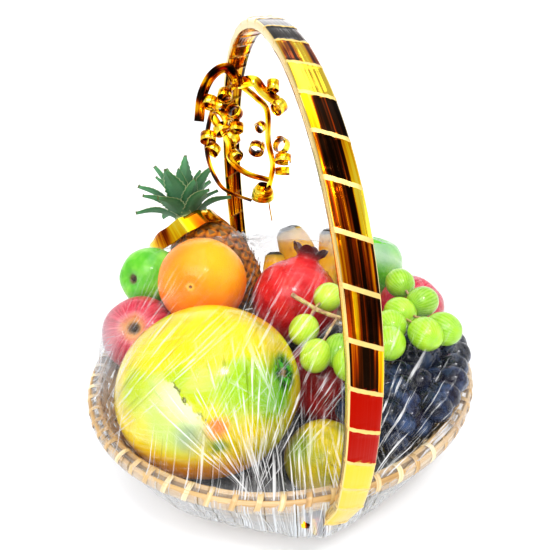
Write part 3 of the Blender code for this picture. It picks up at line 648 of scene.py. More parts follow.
# Bed
# A sheet crushed into the bowl under the fruit and pressed down where they sit, coloured near
# black as painted shade for the dark inside of the bowl.
tissue = bmesh.new()
tissue.from_mesh(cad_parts["bed"].data)
bmesh.ops.remove_doubles(tissue, verts=tissue.verts, dist=1e-6)
for _ in range(2):
    upper = [edge for edge in tissue.edges
             if all(vert.co.z > 0.008 for vert in edge.verts)]
    bmesh.ops.subdivide_edges(tissue, edges=upper, cuts=1, use_grid_fill=True)
for vert in tissue.verts:
    if vert.co.z > 0.010 and vert.co.xy.length < 0.122:
        fold = abs(noise.noise(vert.co * 60)) * 2 - 0.7
        vert.co.z += 0.0016 * fold * min(1.0, vert.co.z / 0.03)
bmesh.ops.recalc_face_normals(tissue, faces=tissue.faces)
# Near-black colour: painted shade for the dark inside of the bowl.
shade_bed_finish, tree, shader = finish_of("dark tissue", Roughness=0.62)
folds = cloud(tree, place_in(tree), 90.0, 4.0, 0.65)
dress(tree, shader, ramp(tree, folds, [(0.35, "08080a"), (0.65, "24242c")]),
      relief(tree, folds, 0.8, 0.003))
settle(tissue, "tissue_bed", shade_bed_finish, ["bed"])


# Papaya
# A short, heavy papaya lying on its side at the front: yellow at the shoulder, lime over the
# middle and green round its stalk scar, with one pale flaky patch and a warm underside.
PAPAYA_CENTRE = Vector((-0.0662, -0.0519, 0.087))
PAPAYA_AXIS = Vector((0.76, -0.51, 0.41)).normalized()
PAPAYA_RADIUS = 0.0620
PAPAYA_HALF_LENGTH = 0.071
SCAR_GIRTH = 0.014


def ball_profile(radius_at, rings):
    """Profile of a ball from its south pole to its north pole, by radius_at(latitude)."""
    points = []
    for ring in range(rings + 1):
        latitude = math.pi * (ring / rings - 0.5)
        radius = radius_at(latitude)
        across = radius * math.cos(latitude) if 0 < ring < rings else 0.0
        points.append((across, radius * math.sin(latitude)))
    return points


def stood(centre, axis):
    """The matrix that puts a piece's own +Z along axis and its origin at centre."""
    turn = Vector((0, 0, 1)).rotation_difference(Vector(axis))
    return Matrix.Translation(centre) @ turn.to_matrix().to_4x4()


def own_place(tree, centre, axis, size):
    """Coordinates in a fruit's own frame: +Z to its stalk or blossom end, size as one."""
    turn = Vector((0, 0, 1)).rotation_difference(Vector(axis)).to_euler()
    return add(tree, "Mapping", {0: place_in(tree), 1: tuple(centre), 2: tuple(turn),
                                 3: (size, size, size)}, vector_type="TEXTURE")


# A patch with a ragged edge: 1 inside Inner, 0 past Outer, with its edge pushed about.
patch, given, wanted = new_group(
    "ragged patch",
    [("Vector", "NodeSocketVector", None), ("Place", "NodeSocketVector", None),
     ("Inner", "NodeSocketFloat", 0.01), ("Outer", "NodeSocketFloat", 0.02),
     ("Wobble", "NodeSocketFloat", 0.0), ("Grain", "NodeSocketFloat", 60.0)],
    [("Mask", "NodeSocketFloat")])
away = add(patch, "VectorMath", {0: given["Vector"], 1: given["Place"]}, out="Value",
           operation="DISTANCE")
push = sums(patch, "MULTIPLY", sums(patch, "SUBTRACT",
                                    cloud(patch, given["Vector"], given["Grain"], 5.0, 0.6),
                                    0.5), given["Wobble"])
patch.links.new(rise(patch, sums(patch, "ADD", away, push), given["Outer"], given["Inner"]),
                wanted["Mask"])


def spot(tree, where, place, inner, outer, wobble=0.0, grain=60.0):
    """The mask of one ragged patch."""
    return add(tree, "Group", {"Vector": where, "Place": tuple(place), "Inner": inner,
                               "Outer": outer, "Wobble": wobble, "Grain": grain},
               node_tree=patch)


def spotted(tree, where, base, spots):
    """Lay ragged patches over a colour, each with its own place, sizes and colour."""
    for place, inner, outer, wobble, grain, colour in spots:
        base = mixed(tree, spot(tree, where, place, inner, outer, wobble, grain), base, colour)
    return base


# Small sunk pores or specks, spread evenly but at random: Mask is 1 in each.
pores, given, wanted = new_group(
    "pores",
    [("Vector", "NodeSocketVector", None), ("Scale", "NodeSocketFloat", 400.0),
     ("Size", "NodeSocketFloat", 0.3)],
    [("Mask", "NodeSocketFloat")])
cell = add(pores, "TexVoronoi", {"Vector": given["Vector"], "Scale": given["Scale"]},
           out="Distance")
pores.links.new(rise(pores, cell, given["Size"], sums(pores, "MULTIPLY", given["Size"], 0.3)),
                wanted["Mask"])


def pored(tree, where, scale, size):
    """The mask of a fruit's pores."""
    return add(tree, "Group", {"Vector": where, "Scale": scale, "Size": size},
               node_tree=pores)


def papaya_radius(latitude):
    """An egg, a little longer than wide, sunk at its stalk."""
    radius = 1 / math.hypot(math.sin(latitude) / PAPAYA_HALF_LENGTH,
                            math.cos(latitude) / PAPAYA_RADIUS)
    if latitude > math.radians(70):
        radius -= 0.004 * (math.degrees(latitude) - 70) / 20
    return radius


flesh = turned(ball_profile(papaya_radius, 72), 110)
for vert in flesh.verts:
    turn = math.atan2(vert.co.y, vert.co.x)
    share = vert.co.z / PAPAYA_HALF_LENGTH
    vert.co.xy *= 1 + 0.010 * math.cos(5 * turn) * max(0.0, share + 0.4)
    girth = vert.co.xy.length
    if share > 0.8 and girth < SCAR_GIRTH:
        star = 0.5 + 0.5 * math.cos(5 * turn)
        vert.co.z -= 0.0016 * star * (1 - girth / SCAR_GIRTH)
    vert.co *= 1 + 0.005 * noise.noise(vert.co * 28)
bmesh.ops.transform(flesh, matrix=stood(PAPAYA_CENTRE, PAPAYA_AXIS), verts=flesh.verts)
papaya_skin, tree, shader = finish_of("papaya skin", Roughness=0.34, Coat_Weight=0.45,
                                      Coat_Roughness=0.13, Specular_IOR_Level=0.2)
here = place_in(tree)
own = own_place(tree, PAPAYA_CENTRE, PAPAYA_AXIS, PAPAYA_RADIUS)
mottle = cloud(tree, here, 26.0, 4.0, 0.6)
base = ramp(tree, mottle, [(0.30, "c4b00c"), (0.50, "e0c80a"),
                           (0.70, "ecd00c")])
LIME_BELT = ((-0.1130, -0.0780, 0.1190), (-0.0950, -0.0950, 0.1280),
             (-0.0720, -0.1010, 0.1270), (-0.0520, -0.1040, 0.1180))
for place in LIME_BELT:
    base = mixed(tree, sums(tree, "MULTIPLY", 0.75,
                            spot(tree, here, place, 0.006, 0.026, 0.026, 45.0)),
                 base, "9cc008")
base = spotted(tree, here, base, (
    ((-0.040, -0.098, 0.119), 0.008, 0.034, 0.030, 30.0, "94c00c"),
    ((-0.028, -0.098, 0.106), 0.005, 0.024, 0.020, 45.0, "6cac10")))
low = add(tree, "SeparateXYZ", {0: here}, out="Z")
warm = rise(tree, sums(tree, "ADD", low, sums(tree, "MULTIPLY", mottle, 0.02)), 0.098, 0.070)
base = mixed(tree, warm, base, "f4a41c")
base = mixed(tree, spot(tree, here, (-0.0311, -0.1026, 0.0742), 0.010, 0.030, 0.020, 50.0),
             base, "b8b418")
# The pale patch: ragged and flaking along its upper right edge, soft everywhere else.
PATCH_EDGE = (-0.0800, -0.1045, 0.1180)
PATCH_HEADING = (0.790, 0.112, 0.599)
from_edge = add(tree, "VectorMath", {0: add(tree, "VectorMath", {0: here, 1: PATCH_EDGE},
                                            operation="SUBTRACT"), 1: PATCH_HEADING},
                out="Value", operation="DOT_PRODUCT")
ragged = sums(tree, "MULTIPLY", 0.016,
              sums(tree, "SUBTRACT", cloud(tree, here, 120.0, 5.0, 0.65), 0.5))
from_edge = sums(tree, "ADD", from_edge, ragged)
pale = sums(tree, "MULTIPLY", rise(tree, from_edge, 0.0010, -0.0012),
            spot(tree, here, (-0.0925, -0.1060, 0.1090), 0.012, 0.036, 0.014, 40.0))
minty = mixed(tree, rise(tree, from_edge, -0.022, -0.002), "b8cc62", "dce8ac")
minty = mixed(tree, spot(tree, here, (-0.0800, -0.1100, 0.0960), 0.004, 0.018, 0.010, 60.0),
              minty, "93a880")
base = mixed(tree, pale, base, minty)
flake = sums(tree, "MULTIPLY", rise(tree, sums(tree, "ABSOLUTE", from_edge), 0.0016, 0.0002),
             rise(tree, cloud(tree, here, 160.0, 3.0, 0.6), 0.52, 0.62))
flake = sums(tree, "MULTIPLY", flake, spot(tree, here, PATCH_EDGE, 0.014, 0.022, 0.004, 60.0))
base = mixed(tree, flake, base, "5c5c14")
base = spotted(tree, here, base, (
    ((-0.0651, -0.1132, 0.1035), 0.002, 0.0105, 0.010, 160.0, "e87a18"),
    ((-0.066, -0.1150, 0.0900), 0.001, 0.0100, 0.012, 140.0, "6c8c34")))
green = spot(tree, own, (0.0, 0.0, 1.06), 0.10, 0.30, 0.20, 5.0)
base = mixed(tree, green, base, "35a010")
blot = cloud(tree, own, 9.0, 3.0, 0.6)
scar = sums(tree, "MULTIPLY", spot(tree, own, (0.0, 0.0, 1.06), 0.12, 0.27, 0.20, 9.0),
            rise(tree, blot, 0.40, 0.50))
base = mixed(tree, scar, base, "0a4208")
base = mixed(tree, spot(tree, own, (0.0, 0.0, 1.06), 0.02, 0.08, 0.05, 14.0),
             base, "8a6a40")
dress(tree, shader, base, relief(tree, mottle, 0.12, 0.004),
      rise(tree, sums(tree, "ADD", mottle, pale), -0.6, 3.2))
settle(flesh, "papaya_fruit", papaya_skin, ["papaya"])


# Orange and mandarin
# Two citrus fruits with pored peel. The orange shows its small navel; the mandarin is greener,
# puckered at its neck and specked with brown.
ORANGE_CENTRE = Vector((-0.055, 0.0372, 0.1331))
ORANGE_RADIUS = 0.038
ORANGE_AXIS = Vector((-0.0672, 0.0035, 0.1458)) - ORANGE_CENTRE
MANDARIN_CENTRE = Vector((0.009, -0.095, 0.039))
MANDARIN_RADIUS = 0.029
MANDARIN_AXIS = Vector((-0.2, 0.35, 0.9))


def dimpled(bm, radius, pitch, depth):
    """Lumps and pores pressed into a peel."""
    for vert in bm.verts:
        lump = noise.noise(vert.co / radius * 2.0)
        pore = noise.noise(vert.co / pitch)
        vert.co *= 1 + 0.010 * lump - depth / radius * max(0.0, pore)


def orange_radius(latitude):
    """Round, with a shallow sunk navel."""
    return ORANGE_RADIUS * (1 - 0.035 * max(0.0, (math.degrees(latitude) - 76) / 14))


peel = turned(ball_profile(orange_radius, 110), 180)
dimpled(peel, ORANGE_RADIUS, 0.0011, 0.00018)
bmesh.ops.transform(peel, matrix=stood(ORANGE_CENTRE, ORANGE_AXIS), verts=peel.verts)
orange_peel, tree, shader = finish_of("orange peel", Roughness=0.36, Coat_Weight=0.3,
                                      Coat_Roughness=0.18, Specular_IOR_Level=0.2)
here = place_in(tree)
own = own_place(tree, ORANGE_CENTRE, ORANGE_AXIS, ORANGE_RADIUS)
mottle = cloud(tree, here, 45.0, 4.0, 0.6)
base = ramp(tree, mottle, [(0.30, "f87c02"), (0.55, "fc8c06"),
                           (0.75, "fe9a0c")])
base = mixed(tree, spot(tree, here, (-0.030, 0.020, 0.165), 0.012, 0.048, 0.010, 40.0),
             base, "ffb012")
pits = pored(tree, here, 620.0, 0.34)
base = mixed(tree, sums(tree, "MULTIPLY", pits, 0.35), base, "f07404")
base = spotted(tree, own, base, (
    ((0, 0, 0.965), 0.04, 0.13, 0.05, 8.0, "f8b048"),
    ((0, 0, 0.965), 0.02, 0.055, 0.03, 14.0, "7a5020")))
dress(tree, shader, base, relief(tree, sums(tree, "SUBTRACT", 1.0, pits), 0.28, 0.0008),
      rise(tree, mottle, -1.0, 2.6))
settle(peel, "navel_orange", orange_peel, ["orange"])


def mandarin_radius(latitude):
    """Squat, with a puckered neck."""
    squash = 1 - 0.10 * abs(math.sin(latitude)) ** 3
    neck = 0.10 * max(0.0, (math.degrees(latitude) - 62) / 28)
    return MANDARIN_RADIUS * (squash + neck)


peel = turned(ball_profile(mandarin_radius, 70), 120)
for vert in peel.verts:
    turn = math.atan2(vert.co.y, vert.co.x)
    neck = max(0.0, vert.co.z / MANDARIN_RADIUS - 0.55)
    vert.co.xy *= 1 + 0.16 * neck * math.cos(9 * turn)
dimpled(peel, MANDARIN_RADIUS, 0.0016, 0.00030)
bmesh.ops.transform(peel, matrix=stood(MANDARIN_CENTRE, MANDARIN_AXIS), verts=peel.verts)
mandarin_peel, tree, shader = finish_of("mandarin peel", Roughness=0.34, Coat_Weight=0.3,
                                        Coat_Roughness=0.15, Specular_IOR_Level=0.2)
here = place_in(tree)
mottle = cloud(tree, here, 55.0, 5.0, 0.62)
base = ramp(tree, mottle, [(0.32, "a8a80e"), (0.50, "d2be10"),
                           (0.68, "e6cc16")])
base = spotted(tree, here, base, (
    ((-0.014, -0.100, 0.062), 0.006, 0.022, 0.016, 60.0, "8fae28"),
    ((0.012, -0.115, 0.020), 0.004, 0.020, 0.014, 60.0, "7c9a2c")))
specks = sums(tree, "MULTIPLY", pored(tree, here, 520.0, 0.36),
              spot(tree, here, (0.010, -0.1213, 0.0480), 0.004, 0.017, 0.014, 70.0))
base = mixed(tree, specks, base, "6a4a14")
pits = pored(tree, here, 560.0, 0.36)
base = mixed(tree, sums(tree, "MULTIPLY", pits, 0.3), base, "a89a14")
dress(tree, shader, base, relief(tree, sums(tree, "SUBTRACT", 1.0, pits), 0.35, 0.001),
      rise(tree, mottle, -1.0, 2.6))
settle(peel, "green_mandarin", mandarin_peel, ["mandarin"])


# Apples
# Two green apples and two streaked red ones, wedged round the heap with the dried calyx of
# each turned outward. Every apple is sunk at both ends and faintly five-sided.
APPLES = {
    "green_apple_left": ((-0.099, 0.092, 0.120), 0.029, (-0.60, -0.60, 0.30)),
    "red_apple_left": ((-0.114, 0.039, 0.091), 0.033, (-0.10, -0.75, 0.65)),
    "green_apple_right": ((0.118, 0.072, 0.107), 0.031, (0.35, 0.10, 0.93)),
    "red_apple_right": ((0.125, 0.002, 0.093), 0.029, (0.80, 0.20, 0.55)),
}
APPLE_PROFILE = [(0.0, -0.72), (0.14, -0.84), (0.42, -0.93), (0.74, -0.70), (0.95, -0.28),
                 (0.99, 0.12), (0.86, 0.55), (0.60, 0.84), (0.34, 0.90), (0.12, 0.82),
                 (0.0, 0.74)]


def smooth_path(points, per_span):
    """Points on the smooth curve through the given points."""
    points = [Vector(point) for point in points]
    ends = [2 * points[0] - points[1], *points, 2 * points[-1] - points[-2]]
    line = []
    for before, here, there, after in zip(ends, ends[1:], ends[2:], ends[3:]):
        for step in range(per_span):
            t = step / per_span
            line.append(0.5 * (2 * here + (there - before) * t
                               + (2 * before - 5 * here + 4 * there - after) * t * t
                               + (3 * here - before - 3 * there + after) * t ** 3))
    line.append(points[-1])
    return line


def apple_skin(name, centre, radius, axis, red):
    """Green skin with pale dots, or crimson skin streaked from end to end."""
    skin, tree, shader = finish_of(name + " skin", Roughness=0.28, Coat_Weight=0.3,
                                   Coat_Roughness=0.12, Specular_IOR_Level=0.2)
    own = own_place(tree, centre, axis, radius)
    mottle = cloud(tree, own, 1.6, 4.0, 0.6)
    parts = add(tree, "SeparateXYZ", {0: own}).node.outputs
    if red:
        turn = add(tree, "Math", {0: parts[1], 1: parts[0]}, operation="ARCTAN2")
        streak_place = add(tree, "CombineXYZ", {0: sums(tree, "COSINE", turn),
                                                1: sums(tree, "SINE", turn),
                                                2: sums(tree, "MULTIPLY", parts[2], 0.12)})
        streak = cloud(tree, streak_place, 11.0, 4.0, 0.7)
        base = ramp(tree, streak, [(0.30, "960e24"), (0.48, "bc2440"),
                                   (0.62, "d0485c"), (0.76, "e89484")])
        base = mixed(tree, rise(tree, mottle, 0.52, 0.72), base, "cc4a50")
        base = mixed(tree, spot(tree, own, (0, 0, 0.86), 0.10, 0.46, 0.30, 3.0), base,
                     "d8a05c")
    else:
        base = ramp(tree, mottle, [(0.30, "4cac1c"), (0.52, "6cc030"),
                                   (0.74, "9cd852")])
    dots = pored(tree, own, 11.0, 0.10)
    base = mixed(tree, sums(tree, "MULTIPLY", dots, 0.6), base, "e6e2a0")
    hollow = spot(tree, own, (0, 0, 0.78), 0.10, 0.24, 0.12, 8.0)
    base = mixed(tree, hollow, base, "5a4420")
    base = mixed(tree, spot(tree, own, (0, 0, 0.76), 0.03, 0.11, 0.06, 12.0), base,
                 "1e140c")
    dress(tree, shader, base, relief(tree, sums(tree, "ADD", mottle, dots), 0.06, 0.002),
          rise(tree, sums(tree, "ADD", mottle, hollow), -0.9, 3.0))
    return skin


for name, (centre, radius, axis) in APPLES.items():
    outline = [(max(0.0, point.x) * radius, point.y * radius) for point in smooth_path(
        [(across, height, 0) for across, height in APPLE_PROFILE], 5)]
    outline[0] = (0.0, outline[0][1])
    outline[-1] = (0.0, outline[-1][1])
    apple = turned(outline, 80)
    for vert in apple.verts:
        turn = math.atan2(vert.co.y, vert.co.x)
        share = vert.co.z / radius
        vert.co.xy *= 1 + 0.035 * max(0.0, share) * math.cos(5 * turn)
        vert.co *= 1 + 0.012 * noise.noise(vert.co / radius * 1.4 + Vector(centre) * 50)
    for sepal in range(5):
        turn = math.tau * (sepal + 0.5) / 5
        out, side = facing(turn)
        stations = []
        for step in range(5):
            share = step / 4
            half = 0.045 * (1 - share) + 0.006
            middle = (out * (0.045 + 0.05 * share - 0.06 * share * share)
                      + Vector((0, 0, 0.76 + 0.11 * share))) * radius
            stations.append([middle + side * across * half * radius
                             + out * deep * 0.012 * radius
                             for across, deep in ((-1, 0), (0, -1), (1, 0), (0, 1))])
        join(apple, tube(stations))
    bmesh.ops.transform(apple, matrix=stood(centre, axis), verts=apple.verts)
    red = name.startswith("red")
    settle(apple, name + "_fruit", apple_skin(name, centre, radius, axis, red),
           [name])


# Pomegranates
# Two pomegranates with hard, leathery rind, one on top of the heap with its toothed crown up
# and one low down, much darker, pressed against the near leg of the handle.
POMEGRANATES = {
    "pomegranate_top": ((0.026, 0.034, 0.102), 0.040, (0.40, 0.25, 0.88)),
    "pomegranate_low": ((0.033, -0.029, 0.053), 0.037, (0.95, 0.10, 0.00)),
}
POMEGRANATE_NECK = ((0.36, 0.93), (0.28, 0.98), (0.25, 1.06), (0.30, 1.17), (0.37, 1.30),
                    (0.32, 1.29), (0.22, 1.16), (0.14, 1.02), (0.0, 0.98))


def rind_of(name, centre, radius, axis, deep_red):
    """Red rind with a darker mottle, fading to brown at the crown."""
    rind, tree, shader = finish_of(name + " rind", Roughness=0.30, Coat_Weight=0.35,
                                   Coat_Roughness=0.14, Specular_IOR_Level=0.2)
    own = own_place(tree, centre, axis, radius)
    mottle = cloud(tree, own, 2.2, 5.0, 0.62)
    stops = (("74060a", "a00e10", "be1c16") if deep_red else ("b0101a", "d21e24", "e6382e"))
    base = ramp(tree, mottle, list(zip((0.30, 0.52, 0.74), stops)))
    specks = pored(tree, own, 14.0, 0.14)
    base = mixed(tree, sums(tree, "MULTIPLY", specks, 0.5), base, "7a1814")
    height = add(tree, "SeparateXYZ", {0: own}, out="Z")
    crown = rise(tree, sums(tree, "ADD", height, sums(tree, "MULTIPLY", mottle, 0.16)),
                 1.02, 1.26)
    base = mixed(tree, crown, base, "4a1a1c")
    dress(tree, shader, base, relief(tree, sums(tree, "SUBTRACT", mottle, specks), 0.14, 0.003),
          rise(tree, mottle, -0.8, 2.8))
    return rind


for name, (centre, radius, axis) in POMEGRANATES.items():
    body = [point for point in ball_profile(
        lambda latitude: radius * (1 - 0.04 * math.sin(latitude) ** 2), 70)
        if point[1] < radius * 0.86]
    neck = [Vector((*body[-1], 0))] + [Vector((across * radius, height * radius, 0))
                                       for across, height in POMEGRANATE_NECK]
    outline = body[:-1] + [(max(0.0, point.x), point.y) for point in smooth_path(neck, 4)]
    outline[-1] = (0.0, outline[-1][1])
    fruit = turned(outline, 90)
    for vert in fruit.verts:
        turn = math.atan2(vert.co.y, vert.co.x)
        share = vert.co.z / radius
        if share < 1.0:
            vert.co.xy *= 1 + 0.022 * math.cos(5 * turn) + 0.008 * math.cos(3 * turn + 1)
            vert.co *= 1 + 0.012 * noise.noise(vert.co / radius * 1.8)
        else:
            tooth = abs(math.cos(3 * turn))
            drop = min(1.0, (share - 1.0) / 0.3)
            vert.co.z -= radius * 0.19 * drop * (1 - tooth ** 0.7)
            vert.co.xy *= 1 + 0.16 * drop * tooth
    bmesh.ops.transform(fruit, matrix=stood(centre, axis), verts=fruit.verts)
    settle(fruit, name + "_fruit", rind_of(name, centre, radius, axis, name.endswith("low")),
           [name])


# Pineapple
# A small pineapple that leans back out of the heap: a dark rind of spiral eyes, each with a
# dried spiky bract, a crown of stiff saw-edged leaves, and a loose collar of gold foil.
PINEAPPLE_CENTRE = Vector((-0.035, 0.119, 0.108))
PINEAPPLE_AXIS = Vector((-0.38, 0.60, 0.70)).normalized()
PINEAPPLE_RADIUS = 0.040
PINEAPPLE_HALF_LENGTH = 0.051
PINEAPPLE_BLUNTNESS = 2.6
CROWN_AXIS = Vector((-0.05, 0.50, 0.865)).normalized()
EYE_COLUMNS = 13
EYE_ROWS = 11
EYE_RELIEF = 0.0019


def pineapple_radius(latitude):
    """A barrel, blunter than an egg."""
    long_part = abs(math.sin(latitude)) / PINEAPPLE_HALF_LENGTH
    wide_part = math.cos(latitude) / PINEAPPLE_RADIUS
    return 1 / (long_part ** PINEAPPLE_BLUNTNESS
                + wide_part ** PINEAPPLE_BLUNTNESS) ** (1 / PINEAPPLE_BLUNTNESS)


def eye_at(turn, latitude):
    """How far from its eye's middle a point of the rind is, 0 to 1, and the eye's number."""
    across = turn / math.tau * EYE_COLUMNS
    up = (latitude / math.pi + 0.5) * EYE_ROWS * 2
    nearest = (9.0, 0.0)
    for row in (math.floor(up), math.floor(up) + 1):
        shift = 0.5 * (row % 2)
        column = round(across - shift) + shift
        away = math.hypot((across - column) * 1.35, (up - row) * 0.62)
        nearest = min(nearest, (away, row * 3.1 + (column % EYE_COLUMNS) * 1.7))
    return nearest


rind = turned(ball_profile(pineapple_radius, 120), 170)
eye_mark = rind.verts.layers.float_vector.new("eye")
for vert in rind.verts:
    turn = math.atan2(vert.co.y, vert.co.x)
    latitude = math.atan2(vert.co.z, vert.co.xy.length)
    away, number = eye_at(turn, latitude)
    fade = min(1.0, vert.co.xy.length / 0.014)
    swell = (1 - min(1.0, away / 0.62) ** 2.6) - 0.5
    vert[eye_mark] = Vector((away, noise.noise(Vector((number, 2.2, 0))), fade))
    vert.co *= 1 + swell * EYE_RELIEF * fade / PINEAPPLE_RADIUS
for row in range(4, 2 * EYE_ROWS - 3):
    latitude = (row / (2 * EYE_ROWS) - 0.5) * math.pi
    for column in range(EYE_COLUMNS):
        turn = (column + 0.5 * (row % 2)) / EYE_COLUMNS * math.tau
        out = Vector((math.cos(turn) * math.cos(latitude), math.sin(turn) * math.cos(latitude),
                      math.sin(latitude)))
        root = out * (pineapple_radius(latitude) + 0.0006)
        side = Vector((-math.sin(turn), math.cos(turn), 0))
        lift = out.cross(side).normalized()
        lift = lift if lift.z > 0 else -lift
        spike = [[root + side * across * 0.0035 * (1 - share) ** 0.7
                  + out * (deep * 0.0004 + 0.0016 * share) + lift * (0.0075 * share - 0.002)
                  for across, deep in ((-1, 0), (0, -1), (1, 0), (0, 1))]
                 for share in (0.0, 0.35, 0.7, 0.96)]
        join(rind, tube(spike, {"eye": lambda row, side: Vector((-1, 0.2, 1))}))
bmesh.ops.transform(rind, matrix=stood(PINEAPPLE_CENTRE, PINEAPPLE_AXIS), verts=rind.verts)
pineapple_rind, tree, shader = finish_of("pineapple rind", Roughness=0.5,
                                         Specular_IOR_Level=0.3)
eyes = carried(tree, "eye")
mottle = cloud(tree, place_in(tree), 160.0, 4.0, 0.6)
spread_here = sums(tree, "ADD", eyes[0], sums(tree, "MULTIPLY", mottle, 0.30))
base = ramp(tree, spread_here, [(0.20, "8a5a2a"), (0.32, "d08a20"),
                                (0.52, "c0701a"), (0.66, "6a3c12"),
                                (0.80, "22150a")])
base = mixed(tree, rise(tree, eyes[1], 0.0, 0.5), base, "7a5214")
bract = sums(tree, "LESS_THAN", eyes[0], -0.5)
base = mixed(tree, bract, base, mixed(tree, mottle, "4a3018", "b08a5a"))
dress(tree, shader, base, relief(tree, mottle, 0.4, 0.0015), rise(tree, mottle, -0.8, 1.6))
settle(rind, "pineapple_body", pineapple_rind, ["pineapple"], 60)

# The crown: three rows of leaves as the solid has them, and small young ones in the middle.
CROWN_ROWS = ((6, 84, 0.050, 0.006, 1.1), (5, 54, 0.054, 0.013, 1.15),
              (3, 22, 0.053, 0.019, 1.15), (5, 34, 0.040, 0.020, 0.8),
              (4, 66, 0.046, 0.010, 0.95), (3, 8, 0.042, 0.022, 0.6))
LEAF_STEPS = 22
crown = turned([(0.0, 0.0), (0.009, 0.001), (0.012, 0.008), (0.009, 0.018), (0.0, 0.028)], 24)
crown.verts.layers.float_vector.new("blade")
for row, (count, spread, length, height, wide) in enumerate(CROWN_ROWS):
    for leaf in range(count):
        turn = math.tau * (leaf + 0.5 * (count % 2)) / count + (0.35 if row > 2 else 0.0)
        out, side = facing(turn)
        spine = Vector((0, 0, height)) + out * 0.006
        stations = []
        for step in range(LEAF_STEPS + 1):
            share = step / LEAF_STEPS
            bend = math.radians(spread) * (0.55 + 0.18 * min(3.0, share * 4 - 0.5))
            heading = Vector((0, 0, 1)) * math.cos(bend) + out * math.sin(bend)
            if step:
                spine = spine + heading * length / LEAF_STEPS
            over = side.cross(heading)
            half = (0.0092 * min(1.0, 2.1 * (1 - share)) ** 0.8 + 0.0002) * wide
            half *= 1.0 + (0.10 if step % 2 else -0.06) * (share < 0.97)
            wave = 0.0006 * math.sin(share * 9 + leaf)
            fold = [(-1.0, 0.0017), (-0.5, 0.0004), (0.0, -0.0009), (0.5, 0.0004),
                    (1.0, 0.0017), (0.55, -0.0002), (0.0, -0.0017), (-0.55, -0.0002)]
            stations.append([spine + side * across * half
                             - over * (deep * (0.3 + 0.7 * wide) + wave * across)
                             for across, deep in fold])
        join(crown, tube(stations, {"blade": lambda row_here, side_here: Vector((
            (-1.0, -0.5, 0.0, 0.5, 1.0, 0.55, 0.0, -0.55)[side_here],
            row_here / LEAF_STEPS, 1.0 if side_here > 4 else 0.0))}))
crown_base = PINEAPPLE_CENTRE + PINEAPPLE_AXIS * (PINEAPPLE_HALF_LENGTH + 0.0045)
bmesh.ops.transform(crown, matrix=stood(crown_base, CROWN_AXIS), verts=crown.verts)
leaf_green, tree, shader = finish_of("pineapple leaf", Roughness=0.45, Specular_IOR_Level=0.2)
blades = carried(tree, "blade")
mottle = cloud(tree, place_in(tree), 120.0, 3.0, 0.6)
veins = add(tree, "TexWave", {"Vector": add(tree, "CombineXYZ", {
    0: blades[0], 1: sums(tree, "MULTIPLY", mottle, 0.15)}), "Scale": 2.6, "Distortion": 0.4})
base = ramp(tree, sums(tree, "ADD", sums(tree, "MULTIPLY", mottle, 0.6),
                       sums(tree, "MULTIPLY", blades[1], 0.35)),
            [(0.22, "0c3c20"), (0.45, "1c6036"), (0.75, "38864a")])
base = mixed(tree, sums(tree, "MULTIPLY", veins, 0.30), base, "5fa066")
base = mixed(tree, sums(tree, "MULTIPLY", blades[2], 0.40), base, "7ea486")
base = mixed(tree, rise(tree, sums(tree, "ABSOLUTE", blades[0]), 0.86, 1.0), base,
             "b9c79a")
base = mixed(tree, rise(tree, blades[1], 0.95, 1.0), base, "5e5a34")
base = mixed(tree, rise(tree, blades[1], 0.20, 0.02), base, "a9b47c")
dress(tree, shader, base, relief(tree, veins, 0.35, 0.0008), rise(tree, mottle, -1.0, 2.4))
settle(crown, "pineapple_leaves", leaf_green, ["pineapple_crown"], 35)

# The collar: a strip of the same foil, wound once round the neck and flared at its lower edge.
COLLAR_RADIUS = 0.0415
COLLAR_HEIGHT = 0.019
loose = (Vector((-1, 0, 0)) - PINEAPPLE_AXIS * -PINEAPPLE_AXIS.x).normalized()
collar_place = (PINEAPPLE_CENTRE + PINEAPPLE_AXIS * PINEAPPLE_HALF_LENGTH * 0.84
                + loose * 0.009)
COLLAR_SECTION = [(0.0030, -1.0), (0.0036, -0.97), (0.0022, -0.5), (0.0008, 0.0),
                  (-0.0006, 0.5), (-0.0018, 0.97), (-0.0024, 1.0), (-0.0014, 0.5),
                  (0.0000, 0.0), (0.0014, -0.5)]
COLLAR_STEPS = 120
stations = []
for step in range(COLLAR_STEPS):
    turn = math.tau * step / COLLAR_STEPS
    ripple = 0.0007 * math.sin(turn * 5 + 0.6) + 0.0005 * noise.noise(Vector((turn * 4, 0, 0)))
    crimp = 0.0006 * math.sin(turn * 11)
    station = []
    for out, up in COLLAR_SECTION:
        radius = COLLAR_RADIUS + out + ripple * (1 - 0.5 * up)
        station.append(Vector((radius * math.cos(turn), radius * math.sin(turn),
                               up * COLLAR_HEIGHT / 2 + crimp)))
    stations.append(station)
collar = tube(stations, {
    "lie": lambda row, side: Vector((0.86 * math.sin(math.tau * row / COLLAR_STEPS * 2 + 0.7),
                                     0.5 + 0.3 * COLLAR_SECTION[side][1], 0)),
    "mood": lambda row, side: Vector((0.68, 0, 0.0))}, ring=True)
bmesh.ops.transform(collar, matrix=stood(collar_place, PINEAPPLE_AXIS), verts=collar.verts)
settle(collar, "foil_collar", foil, ["pineapple_band"], 50)


# Bananas
# Three short, ripe bananas standing at the back of the heap with their blossom ends up: soft
# ridges along each, golden skin with brown scuffs, and a blunt grey-black tip.
BANANAS = {
    "banana_left": ((0.016, 0.088, 0.062), (0.023, 0.100, 0.096), (0.026, 0.110, 0.121), 0.013),
    "banana_middle": ((0.046, 0.098, 0.062), (0.0545, 0.116, 0.103), (0.045, 0.130, 0.139),
                      0.0195),
    "banana_right": ((0.074, 0.090, 0.062), (0.090, 0.113, 0.100), (0.089, 0.121, 0.134),
                     0.0150),
}
BANANA_SIDES = 30


